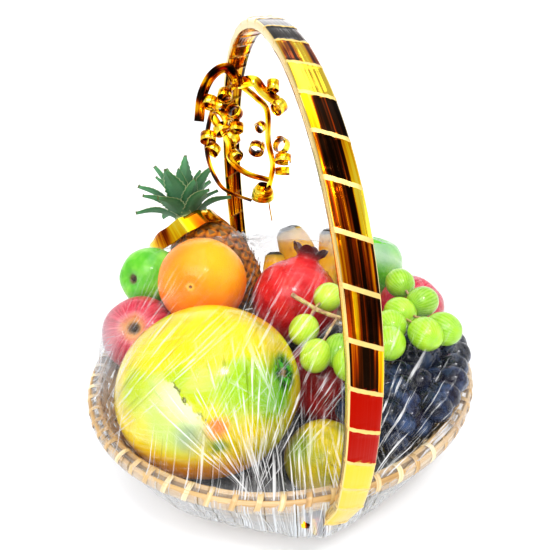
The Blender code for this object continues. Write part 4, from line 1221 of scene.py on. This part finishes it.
def along_path(path, section, width_axis=None):
    """Place section(share), a list of (across, deep) points, along a path."""
    stations = []
    across = Vector(width_axis) if width_axis else None
    for index, point in enumerate(path):
        after = path[min(index + 1, len(path) - 1)]
        before = path[max(index - 1, 0)]
        along = (after - before).normalized()
        if across is None:
            across = along.orthogonal()
        across = (across - across.dot(along) * along).normalized()
        deep = along.cross(across)
        stations.append([point + across * a + deep * d
                         for a, d in section(index / (len(path) - 1))])
    return stations


banana_skin, tree, shader = finish_of("banana skin", Roughness=0.38,
                                      Specular_IOR_Level=0.25)
peel_marks = carried(tree, "finger")
mottle = cloud(tree, place_in(tree), 90.0, 5.0, 0.65)
base = ramp(tree, mottle, [(0.30, "d08a08"), (0.45, "eaac10"),
                           (0.65, "f6c41c")])
streaky = cloud(tree, add(tree, "CombineXYZ", {0: sums(tree, "MULTIPLY", peel_marks[1], 9.0),
                                               1: sums(tree, "MULTIPLY", peel_marks[0], 5.0),
                                               2: peel_marks[2]}), 1.6, 4.0, 0.7)
base = mixed(tree, sums(tree, "MULTIPLY", rise(tree, streaky, 0.58, 0.70), 0.7), base,
             "7a4a14")
tip = rise(tree, sums(tree, "ADD", peel_marks[0], sums(tree, "MULTIPLY", mottle, 0.06)),
           0.955, 1.0)
base = mixed(tree, rise(tree, peel_marks[0], 0.80, 0.97), base, "b09028")
base = mixed(tree, tip, base, "2a2620")
dress(tree, shader, base, relief(tree, streaky, 0.15, 0.002), rise(tree, mottle, -0.9, 2.4))
for number, (name, (root, belly, end, girth)) in enumerate(BANANAS.items()):
    def ridged(share):
        plump = math.sin(math.pi * (0.16 + 0.70 * min(share, 0.985))) ** 0.6
        radius = girth * (plump if share < 0.93 else
                          plump + (0.36 - plump) * ((share - 0.93) / 0.07) ** 1.6)
        return [(radius * (1 + 0.045 * math.cos(5 * math.tau * side / BANANA_SIDES))
                 * math.cos(math.tau * side / BANANA_SIDES),
                 radius * (1 + 0.045 * math.cos(5 * math.tau * side / BANANA_SIDES))
                 * math.sin(math.tau * side / BANANA_SIDES)) for side in range(BANANA_SIDES)]
    spine = smooth_path([root, belly, end], 30)
    finger = tube(along_path(spine, ridged), {"finger": lambda row, side: Vector((
        row / 60, 0.5 + 0.5 * math.cos(math.tau * side / BANANA_SIDES), number * 3.7))})
    for vert in finger.verts:
        vert.co += vert.normal * 0.0003 * noise.noise(vert.co * 150)
    settle(finger, name + "_fruit", banana_skin, [name])


# Green grapes
# A loose bunch of pale green grapes thrown over the heap, each berry on its own twig of a
# woody pinkish stalk. The flesh lets light through.
GRAPE_RADIUS = 0.0118
GREEN_GRAPES = [
    (0.042, -0.013, 0.126), (0.0145, -0.034, 0.112), (0.015, -0.062, 0.106),
    (0.033, -0.061, 0.106), (0.033, -0.084, 0.110), (0.060, -0.088, 0.124),
    (0.086, -0.053, 0.125), (0.106, -0.050, 0.129), (0.101, -0.022, 0.133),
    (0.086, -0.091, 0.128), (0.101, -0.089, 0.128), (0.070, -0.070, 0.126),
]
GREEN_STALK = [
    (0.012, -0.010, 0.132), (0.030, -0.030, 0.124), (0.050, -0.050, 0.122),
    (0.072, -0.062, 0.124), (0.092, -0.062, 0.127), (0.104, -0.042, 0.131),
]


def berry(centre, radius, stretch, axis, tone, sides, rings):
    """One grape: an egg with a small scar at its blossom end, and its own tone."""
    points = ball_profile(lambda latitude: radius * (
        1 + (stretch - 1) * math.sin(latitude) ** 2
        - 0.05 * max(0.0, (-math.degrees(latitude) - 78) / 12)), rings)
    bm = turned(points, sides)
    mark = bm.verts.layers.float_vector.new("berry")
    for vert in bm.verts:
        vert[mark] = Vector((vert.co.z / radius, tone, math.atan2(vert.co.y, vert.co.x)))
        vert.co *= 1 + 0.02 * noise.noise(vert.co / radius + Vector(centre) * 90)
    bmesh.ops.transform(bm, matrix=stood(centre, axis), verts=bm.verts)
    return bm


def round_section(radius, sides=8):
    """A round section for stalks."""
    return [(radius * math.cos(math.tau * side / sides),
             radius * math.sin(math.tau * side / sides)) for side in range(sides)]


rng = random.Random(23)
stalk_line = smooth_path(GREEN_STALK, 10)
roots = stalk_line[5:-5]
berries = bmesh.new()
stalks = tube(along_path(stalk_line, lambda share: round_section(0.0019 - 0.0006 * share)))
for centre in GREEN_GRAPES:
    centre = Vector(centre)
    root = min(roots, key=lambda point: (point - centre).length)
    join(berries, berry(centre, GRAPE_RADIUS, 1.12, root - centre, rng.random(), 30, 20))
    middle = centre.lerp(root, 0.5) + Vector((0, 0, 0.0012))
    twig = smooth_path([centre, middle, root], 5)
    join(stalks, tube(along_path(twig, lambda share: round_section(0.0010))))
for vert in stalks.verts:
    vert.co += vert.normal * 0.0004 * noise.noise(vert.co * 400)
green_skin, tree, shader = finish_of("green grape skin", Roughness=0.2, Coat_Weight=0.5,
                                     Coat_Roughness=0.06, Specular_IOR_Level=0.25,
                                     Subsurface_Weight=0.25, Subsurface_Scale=0.006)
shader["Subsurface Radius"].default_value = (0.8, 1.0, 0.3)
marks_here = carried(tree, "berry")
mottle = cloud(tree, place_in(tree), 130.0, 3.0, 0.6)
shade = sums(tree, "ADD", sums(tree, "MULTIPLY", mottle, 0.5),
             sums(tree, "MULTIPLY", marks_here[1], 0.5))
base = ramp(tree, shade, [(0.20, "74ac0c"), (0.50, "9cce14"),
                          (0.80, "c4e038")])
veins = add(tree, "TexWave", {"Vector": add(tree, "CombineXYZ", {
    0: marks_here[2], 1: sums(tree, "MULTIPLY", mottle, 0.4)}), "Scale": 1.4})
base = mixed(tree, sums(tree, "MULTIPLY", veins, 0.16), base, "e6f4a0")
base = mixed(tree, rise(tree, marks_here[0], -1.095, -1.118), base, "6a5a28")
dress(tree, shader, base, relief(tree, mottle, 0.08, 0.002), rise(tree, mottle, -1.4, 3.6))
settle(berries, "green_berries", green_skin, ["green_grapes"])
stalk_bark, tree, shader = finish_of("grape stalk", Roughness=0.55)
mottle = cloud(tree, place_in(tree), 260.0, 3.0, 0.6)
dress(tree, shader, ramp(tree, mottle, [(0.35, "8a6a48"), (0.50, "b89470"), (0.66, "c4c070")]),
      relief(tree, mottle, 0.5, 0.0006))
settle(stalks, "green_grape_stalks", stalk_bark)


# Dark grapes
# A tight bunch of blue-black grapes heaped inside the rim. Each berry has a dusty bloom,
# rubbed off here and there down to the dark skin.
DARK_GRAPE_RADIUS = 0.0100
DARK_HEAP_RADIUS = 0.108
DARK_HEAP_HEIGHT = 0.074
DARK_HEAP_GIRTH = 0.022
DARK_HEAP_SWEEP = (math.radians(-70), math.radians(-24))
DARK_ROWS = ((0.022, -0.002, 6, 0.0, 1.0), (0.018, 0.013, 5, 0.05, 0.96),
             (0.003, 0.018, 6, 0.0, 1.0), (-0.013, 0.013, 3, 0.15, 0.95),
             (0.036, 0.010, 6, 0.30, 1.02))
INNER_ROWS = ((0.030, 0.000, 5, 0.08, 0.95), (0.011, 0.017, 5, 0.10, 0.92),
              (-0.005, 0.017, 5, 0.08, 0.96), (-0.019, 0.005, 4, 0.10, 0.95),
              (0.025, 0.007, 6, 0.04, 0.98), (0.020, -0.015, 5, 0.05, 0.90),
              (-0.020, -0.008, 4, 0.10, 0.90))


def dark_heap_point(sweep, offset, height):
    """A point of the dark heap, which follows the bowl's rim."""
    radius = DARK_HEAP_RADIUS + offset
    return Vector((radius * math.cos(sweep), radius * math.sin(sweep),
                   DARK_HEAP_HEIGHT + height))


first, last = DARK_HEAP_SWEEP
core_line = [dark_heap_point(first + (last - first) * step / 14, 0, 0.006 * step / 14)
             for step in range(15)]
bunch = tube(along_path(core_line, lambda share: round_section(
    DARK_HEAP_GIRTH * (0.55 + 0.45 * math.sin(math.pi * share) ** 0.5) * 0.93, 20)))
bunch.verts.layers.float_vector.new("berry")
rng = random.Random(7)
for rows, spread_out in ((DARK_ROWS, 0.5), (INNER_ROWS, 0.8)):
    for offset, height, count, start, end in rows:
        for number in range(count):
            share = start + (end - start) * (number + spread_out * (rng.random() - 0.5)) / (
                count - 1)
            sweep = first + (last - first) * min(max(share, 0.0), 1.02)
            centre = dark_heap_point(sweep, offset + 0.002 * (rng.random() - 0.5),
                                     height + 0.006 * share)
            radius = DARK_GRAPE_RADIUS * (1.0 + 0.1 * rng.random())
            if rows is INNER_ROWS:
                radius *= 0.95
            away = centre - dark_heap_point(sweep, 0, 0)
            join(bunch, berry(centre, radius, 1.05, -away, (centre.x * 97 + centre.y * 131) % 1,
                              26, 16))
dark_skin, tree, shader = finish_of("dark grape skin", Roughness=0.34, Coat_Weight=0.4,
                                    Coat_Roughness=0.10, Specular_IOR_Level=0.15)
marks_here = carried(tree, "berry")
here = place_in(tree)
mottle = cloud(tree, here, 75.0, 5.0, 0.65)
dust = cloud(tree, here, 420.0, 3.0, 0.6)
base = ramp(tree, marks_here[1], [(0.10, "070b18"), (0.50, "0c1426"),
                                  (0.90, "160f24")])
bloom = rise(tree, sums(tree, "ADD", mottle, sums(tree, "MULTIPLY", dust, 0.25)), 0.54, 0.92)
base = mixed(tree, sums(tree, "MULTIPLY", bloom, 0.55), base, "4c6898")
base = mixed(tree, rise(tree, marks_here[0], -1.025, -1.045), base, "4a3a30")
dress(tree, shader, base, relief(tree, mottle, 0.06, 0.002), rise(tree, bloom, -0.6, 1.9))
settle(bunch, "dark_bunch", dark_skin, ["dark_grapes"])


# Ribbon
# Narrow foil ribbon, tied to the far leg of the handle and drawn over a blade, so that it
# falls in wide loops, tails and tight curls.
RIBBON_PLANE = 0.108
RIBBON_KNOT = Vector((0.0, RIBBON_PLANE - 0.006, 0.289))
RIBBON_THICKNESS = 0.0005
RIBBON_RUNS = [
    ([(0.0, -0.006, 0.288), (-0.009, -0.012, 0.300), (-0.022, -0.010, 0.295),
      (-0.032, -0.006, 0.279), (-0.037, -0.006, 0.258)], 0.010, (0.5, -0.5, 0.7)),
    ([(0.0, -0.006, 0.287), (0.014, -0.010, 0.288), (0.022, -0.010, 0.279),
      (0.034, -0.010, 0.270)], 0.010, (0.6, 0.2, 0.8)),
    ([(0.002, -0.006, 0.286), (0.016, -0.004, 0.274), (0.025, -0.006, 0.262),
      (0.024, -0.008, 0.236), (0.027, -0.008, 0.213), (0.022, -0.008, 0.192)],
     0.0055, (1, 0.3, 0)),
    ([(-0.002, -0.006, 0.286), (-0.020, -0.002, 0.272), (-0.030, -0.004, 0.250),
      (-0.033, -0.006, 0.229), (-0.028, -0.008, 0.207), (-0.018, -0.008, 0.193),
      (0.004, -0.010, 0.182)], 0.0055, (0.7, 0, 0.7)),
    ([(-0.024, -0.006, 0.262), (-0.014, -0.010, 0.240), (-0.013, -0.012, 0.223),
      (0.001, -0.012, 0.209), (0.022, -0.010, 0.200)], 0.0055, (0.3, 0, 1)),
    ([(0.0215, -0.006, 0.184), (0.0218, -0.006, 0.174), (0.0236, -0.006, 0.158)],
     0.0012, (1, 0, 0)),
]
RIBBON_CURLS = [
    (0.031, -0.010, 0.283, 0.0060, 1.3, 0.009, (0.2, 0.5, 0.9), 0.0),
    (0.035, -0.010, 0.265, 0.0072, 1.4, 0.009, (0.8, 0.5, 0.35), 0.0),
    (0.0175, -0.008, 0.2486, 0.0052, 1.3, 0.006, (0.7, 0.6, 0.3), 0.0),
    (0.0125, -0.008, 0.2301, 0.0076, 1.4, 0.008, (0.4, 0.8, 0.5), 0.0),
    (0.036, -0.008, 0.2305, 0.0080, 1.3, 0.008, (0.8, 0.6, -0.5), 0.0),
    (0.038, -0.008, 0.2180, 0.0092, 0.9, 0.007, (0.2, 0.5, 0.9), 0.0),
    (0.038, -0.008, 0.2065, 0.0100, 0.7, 0.006, (0.1, 0.35, 1.0), 0.0),
    (0.0164, -0.008, 0.1890, 0.0108, 2.6, 0.008, (0.1, -0.3, 1.0), 0.010),
    (-0.0255, -0.004, 0.2730, 0.0080, 1.3, 0.008, (0.3, 0.5, 0.8), 0.0),
    (-0.0170, -0.006, 0.2690, 0.0070, 1.3, 0.008, (-0.5, 0.7, 0.5), 0.0),
    (-0.0190, -0.010, 0.2590, 0.0085, 1.4, 0.008, (0.7, 0.6, 0.2), 0.0),
    (-0.0300, -0.006, 0.2432, 0.0080, 1.3, 0.008, (0.2, 0.6, 0.8), 0.0),
    (-0.0103, -0.012, 0.2420, 0.0080, 1.3, 0.008, (0.8, 0.4, 0.4), 0.0),
    (-0.0173, -0.008, 0.2500, 0.0085, 1.3, 0.007, (-0.3, 0.6, 0.8), 0.0),
    (-0.0270, -0.008, 0.2330, 0.0075, 1.2, 0.007, (0.6, 0.5, 0.6), 0.0),
    (-0.0087, -0.012, 0.2260, 0.0070, 1.2, 0.007, (-0.4, 0.7, 0.5), 0.0),
    (-0.0060, -0.014, 0.2640, 0.0075, 1.3, 0.008, (0.5, 0.6, -0.6), 0.0),
    (-0.0130, -0.010, 0.2785, 0.0070, 1.2, 0.008, (0.3, 0.7, 0.6), 0.0),
    (-0.0050, -0.014, 0.2510, 0.0070, 1.3, 0.007, (0.2, 0.5, 0.9), 0.0),
]


def ribbon_strip(path, width, width_axis, number):
    """A strip of ribbon along a path, with the coordinates that its foil follows and its painted
    reflection tone, lower on one face as painted shade.
    """
    corners = rounded_bar(width, RIBBON_THICKNESS, 0.3)
    return tube(along_path(path, lambda share: corners, width_axis), {
        "lie": lambda row, side: Vector((
            corners[side][0] / width * 1.1,
            0.5 + 0.38 * math.sin(row * 0.35 + number), 0.0)),
        # Painted reflection tone along the strip, 0.28 lower on one face as painted shade.
        "mood": lambda row, side: Vector((
            0.80 + 0.20 * math.sin(row * 0.42 + number * 2.1) - 0.28 * (side < 4),
            0.0, 0.0))})


curls = bmesh.new()
knot_lie = curls.verts.layers.float_vector.new("lie")
knot_mood = curls.verts.layers.float_vector.new("mood")
bmesh.ops.create_icosphere(curls, subdivisions=4, radius=0.0055,
                           matrix=Matrix.Translation(RIBBON_KNOT))
for vert in curls.verts:
    from_knot = vert.co - RIBBON_KNOT
    vert[knot_lie] = Vector((from_knot.x * 140, 0.5 + from_knot.z * 50, 0))
    vert[knot_mood] = Vector((0.55, 0, 0))
    vert.co += from_knot * 0.3 * noise.noise(from_knot * 420)
for number, (points, width, width_axis) in enumerate(RIBBON_RUNS):
    placed = [Vector((x, RIBBON_PLANE + depth, z)) for x, depth, z in points]
    join(curls, ribbon_strip(smooth_path(placed, 14), width, width_axis, number))
for number, (x, depth, z, radius, turns, width, axis, pitch) in enumerate(RIBBON_CURLS):
    axis = Vector(axis).normalized()
    side = axis.orthogonal().normalized()
    ahead = axis.cross(side)
    steps = int(30 * turns)
    line = []
    for step in range(steps + 1):
        turn = math.tau * turns * step / steps
        reach = radius * (1 - 0.30 * step / steps)
        line.append(Vector((x, RIBBON_PLANE + depth, z)) + axis * pitch * (step / steps - 0.5)
                    + (side * math.cos(turn) + ahead * math.sin(turn)) * reach)
    join(curls, ribbon_strip(line, width, axis, number * 1.9))
settle(curls, "foil_ribbon", foil, ["ribbon"], 50)


# Film
# One sheet of clear stretch film, taut over the fruit, the bowl and the feet of the handle, a
# little loose under the rim and closed beneath the bowl. It opens at the pineapple's neck, and
# its pleats fan out from where it is drawn in.
FILM_HEART = Vector((0.0, 0.0, 0.070))
FILM_CLEARANCE = 0.0008
FILM_SAG = 0.22
FILM_DEEPEST = 0.007
FILM_HEM = 0.0010
FILM_LOOSE = 0.0085
NECK_GAP = 0.0012
NECK_FOLDS_REACH = 0.085
WRAPPED = ("woven_basket", "papaya_fruit", "navel_orange", "green_mandarin",
           "green_apple_left_fruit", "red_apple_left_fruit", "green_apple_right_fruit",
           "red_apple_right_fruit", "pomegranate_top_fruit", "pomegranate_low_fruit",
           "banana_left_fruit", "banana_middle_fruit", "banana_right_fruit",
           "green_berries", "green_grape_stalks", "dark_bunch")
# Where the film is drawn in: a place, the way its pleats run from there, the side they fan
# to, how far and how wide they fan, how many there are, and how strongly they show.
SIGHT_UP = Vector((0.088, 0.412, 0.907))
SIGHT_RIGHT = Vector((0.977, -0.213, 0.0))
SIGHT_LEAN = (SIGHT_UP + SIGHT_RIGHT * 0.75).normalized()
SIGHT_ASIDE = (SIGHT_RIGHT - SIGHT_UP * 0.75).normalized()
# The same pulls place the film's painted glints and painted dark lines.
PULLS = (
    ((-0.0525, -0.1532, 0.076), SIGHT_UP, SIGHT_RIGHT, 0.115, 1.05, 26.0, 1.0),
    ((-0.0335, -0.1836, 0.010), SIGHT_UP, SIGHT_RIGHT, 0.150, 0.42, 60.0, 0.9),
    ((0.000, -0.1600, 0.062), SIGHT_LEAN, SIGHT_ASIDE, 0.150, 0.62, 24.0, 1.0),
    ((-0.1900, -0.0900, 0.050), SIGHT_LEAN, SIGHT_ASIDE, 0.210, 0.34, 70.0, 0.8),
    ((-0.0800, -0.1000, 0.080), SIGHT_LEAN, SIGHT_ASIDE, 0.185, 0.36, 46.0, 0.55),
    ((-0.0230, -0.0960, 0.102), (SIGHT_UP * 0.8 - SIGHT_RIGHT).normalized(),
     (SIGHT_RIGHT * 0.8 + SIGHT_UP).normalized(), 0.055, 1.15, 12.0, 0.55),
    ((-0.4000, 0.1800, 0.000), SIGHT_RIGHT, SIGHT_UP, 0.520, 0.20, 150.0, 0.35),
)

# Places of painted milky reflection on the film: where, how far full, how far at all, and how
# strong.
VEILS = (((0.105, 0.045, 0.140), 0.015, 0.060, 0.34),
         ((0.050, 0.130, 0.150), 0.045, 0.085, 0.34),
         ((-0.155, 0.020, 0.085), 0.020, 0.062, 0.34),
         ((0.155, 0.010, 0.085), 0.010, 0.055, 0.28))

contents = bmesh.new()
for name in WRAPPED:
    contents.from_mesh(bpy.data.objects[name].data)
corners = [vert.co.copy() for vert in contents.verts]
for vert in bpy.data.objects["foil_handle"].data.vertices:
    if vert.co.z < 0.060:
        corners.append(vert.co.copy())
for vert in bpy.data.objects["pineapple_body"].data.vertices:
    if (vert.co - PINEAPPLE_CENTRE).dot(PINEAPPLE_AXIS) < 0.020:
        corners.append(vert.co.copy())
contents.from_mesh(bpy.data.objects["pineapple_body"].data)
hull = bmesh.new()
for corner in corners:
    hull.verts.new(corner)
found = bmesh.ops.convex_hull(hull, input=hull.verts)
inner = {item for item in found["geom_interior"] + found["geom_unused"]
         if isinstance(item, bmesh.types.BMVert)}
bmesh.ops.delete(hull, geom=list(inner), context="VERTS")
around = BVHTree.FromBMesh(hull)
within = BVHTree.FromBMesh(contents)
hull.free()
contents.free()

film = bmesh.new()
bmesh.ops.create_icosphere(film, subdivisions=7, radius=1.0)
for vert in film.verts:
    way = vert.co.normalized()
    taut, normal, _, reach = around.ray_cast(FILM_HEART, way)
    inside, _, _, depth = within.ray_cast(taut + way * 0.001, -way)
    gap = 0.010 if inside is None else max(0.0, depth - 0.001)
    vert.co = taut - way * min(FILM_DEEPEST, gap * FILM_SAG)
for _ in range(4):
    bmesh.ops.smooth_vert(film, verts=film.verts, factor=0.5, use_axis_x=True,
                          use_axis_y=True, use_axis_z=True)


def pleat(point):
    """How far the drawn-in film stands out in folds at a point, -1 to 1."""
    fold = 0.0
    for place, ahead, aside, reach, spread, count, strength in PULLS[:3]:
        away = point - Vector(place)
        turn = math.atan2(away.dot(aside), away.dot(ahead))
        near = max(0.0, 1 - away.length / reach) * max(0.0, 1 - abs(turn) / spread)
        fold += strength * near * noise.noise(Vector((turn * count * 0.8, 0.5, count)))
    from_neck = point - PINEAPPLE_CENTRE
    up = from_neck.dot(PINEAPPLE_AXIS)
    girth = (from_neck - PINEAPPLE_AXIS * up).length
    if up > 0 and girth < NECK_FOLDS_REACH:
        turn = math.atan2(from_neck.dot(SIGHT_RIGHT), from_neck.dot(SIGHT_UP))
        crease = noise.noise(Vector((turn * 7, girth * 30, 3)))
        fold += 1.6 * (1 - girth / NECK_FOLDS_REACH) * crease
    return fold


for vert in film.verts:
    way = (vert.co - FILM_HEART).normalized()
    turn = math.atan2(vert.co.y, vert.co.x)
    below = max(0.0, min(1.0, (0.068 - vert.co.z) / 0.03)) * max(
        0.0, min(1.0, (vert.co.z - 0.002) / 0.02))
    slack = 0.45 + 0.55 * math.cos(turn + math.radians(122))
    slack += 0.35 * noise.noise(Vector((turn * 3, vert.co.z * 25, 1)))
    loosely = below * max(0.0, slack) * FILM_LOOSE
    vert.co += Vector((way.x, way.y, 0)) * loosely + way * pleat(vert.co) * 0.0022
    near, normal, _, away = within.find_nearest(vert.co, 0.004)
    if near is not None:
        lift = FILM_CLEARANCE - (vert.co - near).dot(normal)
        if lift > 0:
            vert.co += way * lift
    vert.co.z = max(vert.co.z, FILM_HEM)

# The neck: what lies inside the pineapple's girth goes, and the edge is drawn up to the rind.
opened = []
for vert in film.verts:
    from_neck = vert.co - PINEAPPLE_CENTRE
    up = from_neck.dot(PINEAPPLE_AXIS)
    if up > 0 and (from_neck - PINEAPPLE_AXIS * up).length < PINEAPPLE_RADIUS + 0.0005:
        opened.append(vert)
bmesh.ops.delete(film, geom=opened, context="VERTS")
for vert in film.verts:
    if vert.is_boundary:
        from_neck = vert.co - PINEAPPLE_CENTRE
        up = from_neck.dot(PINEAPPLE_AXIS)
        outward = (from_neck - PINEAPPLE_AXIS * up).normalized()
        vert.co = (PINEAPPLE_CENTRE + PINEAPPLE_AXIS * (up + 0.002)
                   + outward * (PINEAPPLE_RADIUS + NECK_GAP))

# A pull: thin painted glints, as on pleats, that fan out from one place, broken along their
# length (Mask), and painted dark lines among them (Shade).
pleat_glints, given, wanted = new_group(
    "pleat glints",
    [("Vector", "NodeSocketVector", None), ("Place", "NodeSocketVector", None),
     ("Ahead", "NodeSocketVector", None), ("Aside", "NodeSocketVector", None),
     ("Reach", "NodeSocketFloat", 0.1), ("Spread", "NodeSocketFloat", 1.0),
     ("Count", "NodeSocketFloat", 24.0), ("Strength", "NodeSocketFloat", 1.0)],
    [("Mask", "NodeSocketFloat"), ("Shade", "NodeSocketFloat")])
offset = add(pleat_glints, "VectorMath", {0: given["Vector"], 1: given["Place"]},
             operation="SUBTRACT")
forward = add(pleat_glints, "VectorMath", {0: offset, 1: given["Ahead"]}, out="Value",
              operation="DOT_PRODUCT")
sideways = add(pleat_glints, "VectorMath", {0: offset, 1: given["Aside"]}, out="Value",
               operation="DOT_PRODUCT")
turn = sums(pleat_glints, "ARCTAN2", sideways, forward)
away = add(pleat_glints, "VectorMath", {0: offset}, out="Value", operation="LENGTH")
pleats = sums(pleat_glints, "MULTIPLY", turn, given["Count"])
along = sums(pleat_glints, "MULTIPLY", away, 16.0)
line = cloud(pleat_glints, add(pleat_glints, "CombineXYZ", {0: pleats, 1: along,
                                                      2: given["Count"]}), 1.0, 3.0, 0.65)
broken = cloud(pleat_glints, add(pleat_glints, "CombineXYZ", {
    0: sums(pleat_glints, "MULTIPLY", pleats, 0.6), 1: sums(pleat_glints, "MULTIPLY", away, 45.0),
    2: 4.0}), 1.0, 2.0)
other = cloud(pleat_glints, add(pleat_glints, "CombineXYZ", {0: pleats, 1: along, 2: 31.0}),
              1.0, 3.0, 0.65)
falloff = sums(pleat_glints, "MULTIPLY",
               rise(pleat_glints, away, given["Reach"],
                    sums(pleat_glints, "MULTIPLY", given["Reach"], 0.55)),
               rise(pleat_glints, sums(pleat_glints, "ABSOLUTE", turn), given["Spread"],
                    sums(pleat_glints, "MULTIPLY", given["Spread"], 0.75)))
falloff = sums(pleat_glints, "MULTIPLY", falloff, given["Strength"])
sharp = sums(pleat_glints, "MULTIPLY", rise(pleat_glints, line, 0.525, 0.63),
             rise(pleat_glints, broken, 0.34, 0.52))
pleat_glints.links.new(sums(pleat_glints, "MULTIPLY", sharp, falloff), wanted["Mask"])
pleat_glints.links.new(sums(pleat_glints, "MULTIPLY", rise(pleat_glints, other, 0.56, 0.64), falloff),
                    wanted["Shade"])

clear, tree, shader = finish_of("clear film", Roughness=0.10)
here = place_in(tree)
# bright gathers the film's painted glints, and dim its painted dark lines.
bright = None
dim = None
for place, ahead, aside, reach, spread, count, strength in PULLS:
    pull = add(tree, "Group", {"Vector": here, "Place": tuple(place), "Ahead": tuple(ahead),
                               "Aside": tuple(aside), "Reach": reach, "Spread": spread,
                               "Count": count, "Strength": strength},
               node_tree=pleat_glints).node.outputs
    bright = pull[0] if bright is None else sums(tree, "MAXIMUM", bright, pull[0])
    dim = pull[1] if dim is None else sums(tree, "MAXIMUM", dim, pull[1])
# Painted glints and painted dark lines, as on short pleats, cross the rim all the way round,
# where the film turns down over it.
rim_pulls = add(tree, "Group", {"Vector": here, "Place": (0, 0, 0.070), "Ahead": (0, -1, 0),
                               "Aside": (1, 0, 0), "Reach": 1.0, "Spread": 9.0,
                               "Count": 75.0, "Strength": 0.8},
                node_tree=pleat_glints).node.outputs
parts = add(tree, "SeparateXYZ", {0: here}).node.outputs
girth = add(tree, "VectorMath", {0: add(tree, "CombineXYZ", {0: parts[0], 1: parts[1]})},
            out="Value", operation="LENGTH")
at_rim = sums(tree, "MULTIPLY", rise(tree, girth, 0.118, 0.148),
              rise(tree, parts[2], 0.112, 0.088))
at_rim = sums(tree, "MULTIPLY", at_rim, rise(tree, parts[0], 0.060, 0.010))
bright = sums(tree, "MAXIMUM", bright, sums(tree, "MULTIPLY", rim_pulls[0], at_rim))
dim = sums(tree, "MAXIMUM", dim, sums(tree, "MULTIPLY", rim_pulls[1], at_rim))
# Painted glints on the crinkles where it is drawn together round the pineapple's neck.
neck_place = own_place(tree, PINEAPPLE_CENTRE, PINEAPPLE_AXIS, PINEAPPLE_RADIUS)
crinkle = cloud(tree, neck_place, 6.0, 4.0, 0.7)
neck_parts = add(tree, "SeparateXYZ", {0: neck_place}).node.outputs
neck_girth = add(tree, "VectorMath", {0: add(tree, "CombineXYZ", {
    0: neck_parts[0], 1: neck_parts[1]})}, out="Value", operation="LENGTH")
at_neck = sums(tree, "MULTIPLY", rise(tree, neck_girth, 1.65, 1.10),
               rise(tree, neck_parts[2], -0.5, 0.2))
bright = sums(tree, "MAXIMUM", bright,
              sums(tree, "MULTIPLY", at_neck, rise(tree, crinkle, 0.50, 0.62)))
# Seen edge-on, the film is painted grey and less clear: a painted reflection at glancing angles.
edge = add(tree, "LayerWeight", {"Blend": 0.35}, out="Facing")
painted_sheen = sums(tree, "MULTIPLY", sums(tree, "POWER", edge, 4.0), 0.40)
# A milky veil is painted where it hangs clear of the fruit, as the reflection of the bright
# room: below the rim, over the back of the heap, and where it is folded over at the right.
painted_veil = sums(tree, "MULTIPLY", rise(tree, parts[2], 0.082, 0.060), 0.42)
for place, inner, outer, strength in VEILS:
    veil = sums(tree, "MULTIPLY", spot(tree, here, place, inner, outer, 0.02, 30.0), strength)
    painted_veil = sums(tree, "MAXIMUM", painted_veil, veil)
painted_sheen = sums(tree, "ADD", painted_sheen, painted_veil)
alpha = sums(tree, "ADD", sums(tree, "ADD", painted_sheen, 0.008),
             sums(tree, "MULTIPLY", sums(tree, "MAXIMUM", bright,
                                         sums(tree, "MULTIPLY", dim, 0.50)), 0.60))
tree.links.new(sums(tree, "MINIMUM", alpha, 0.92), shader["Alpha"])
# The edge-on grey and the milky veil tint the film as painted reflections.
tint = mixed(tree, edge, "ffffff", "b4bac0")
tint = mixed(tree, sums(tree, "MINIMUM", sums(tree, "MULTIPLY", painted_veil, 2.6), 0.9), tint,
             "ccd2d8")
# Painted dark lines where the painted shade outweighs the glints.
tint = mixed(tree, rise(tree, sums(tree, "SUBTRACT", dim, bright), 0.1, 0.5), tint,
             "3a3c28")
tree.links.new(tint, shader["Base Color"])
ripple = sums(tree, "ADD", bright, cloud(tree, here, 34.0, 3.0, 0.6))
tree.links.new(relief(tree, ripple, 0.35, 0.0012), shader["Normal"])
settle(film, "film_wrap", clear, ["film"], 180)

bpy.context.view_layer.update()
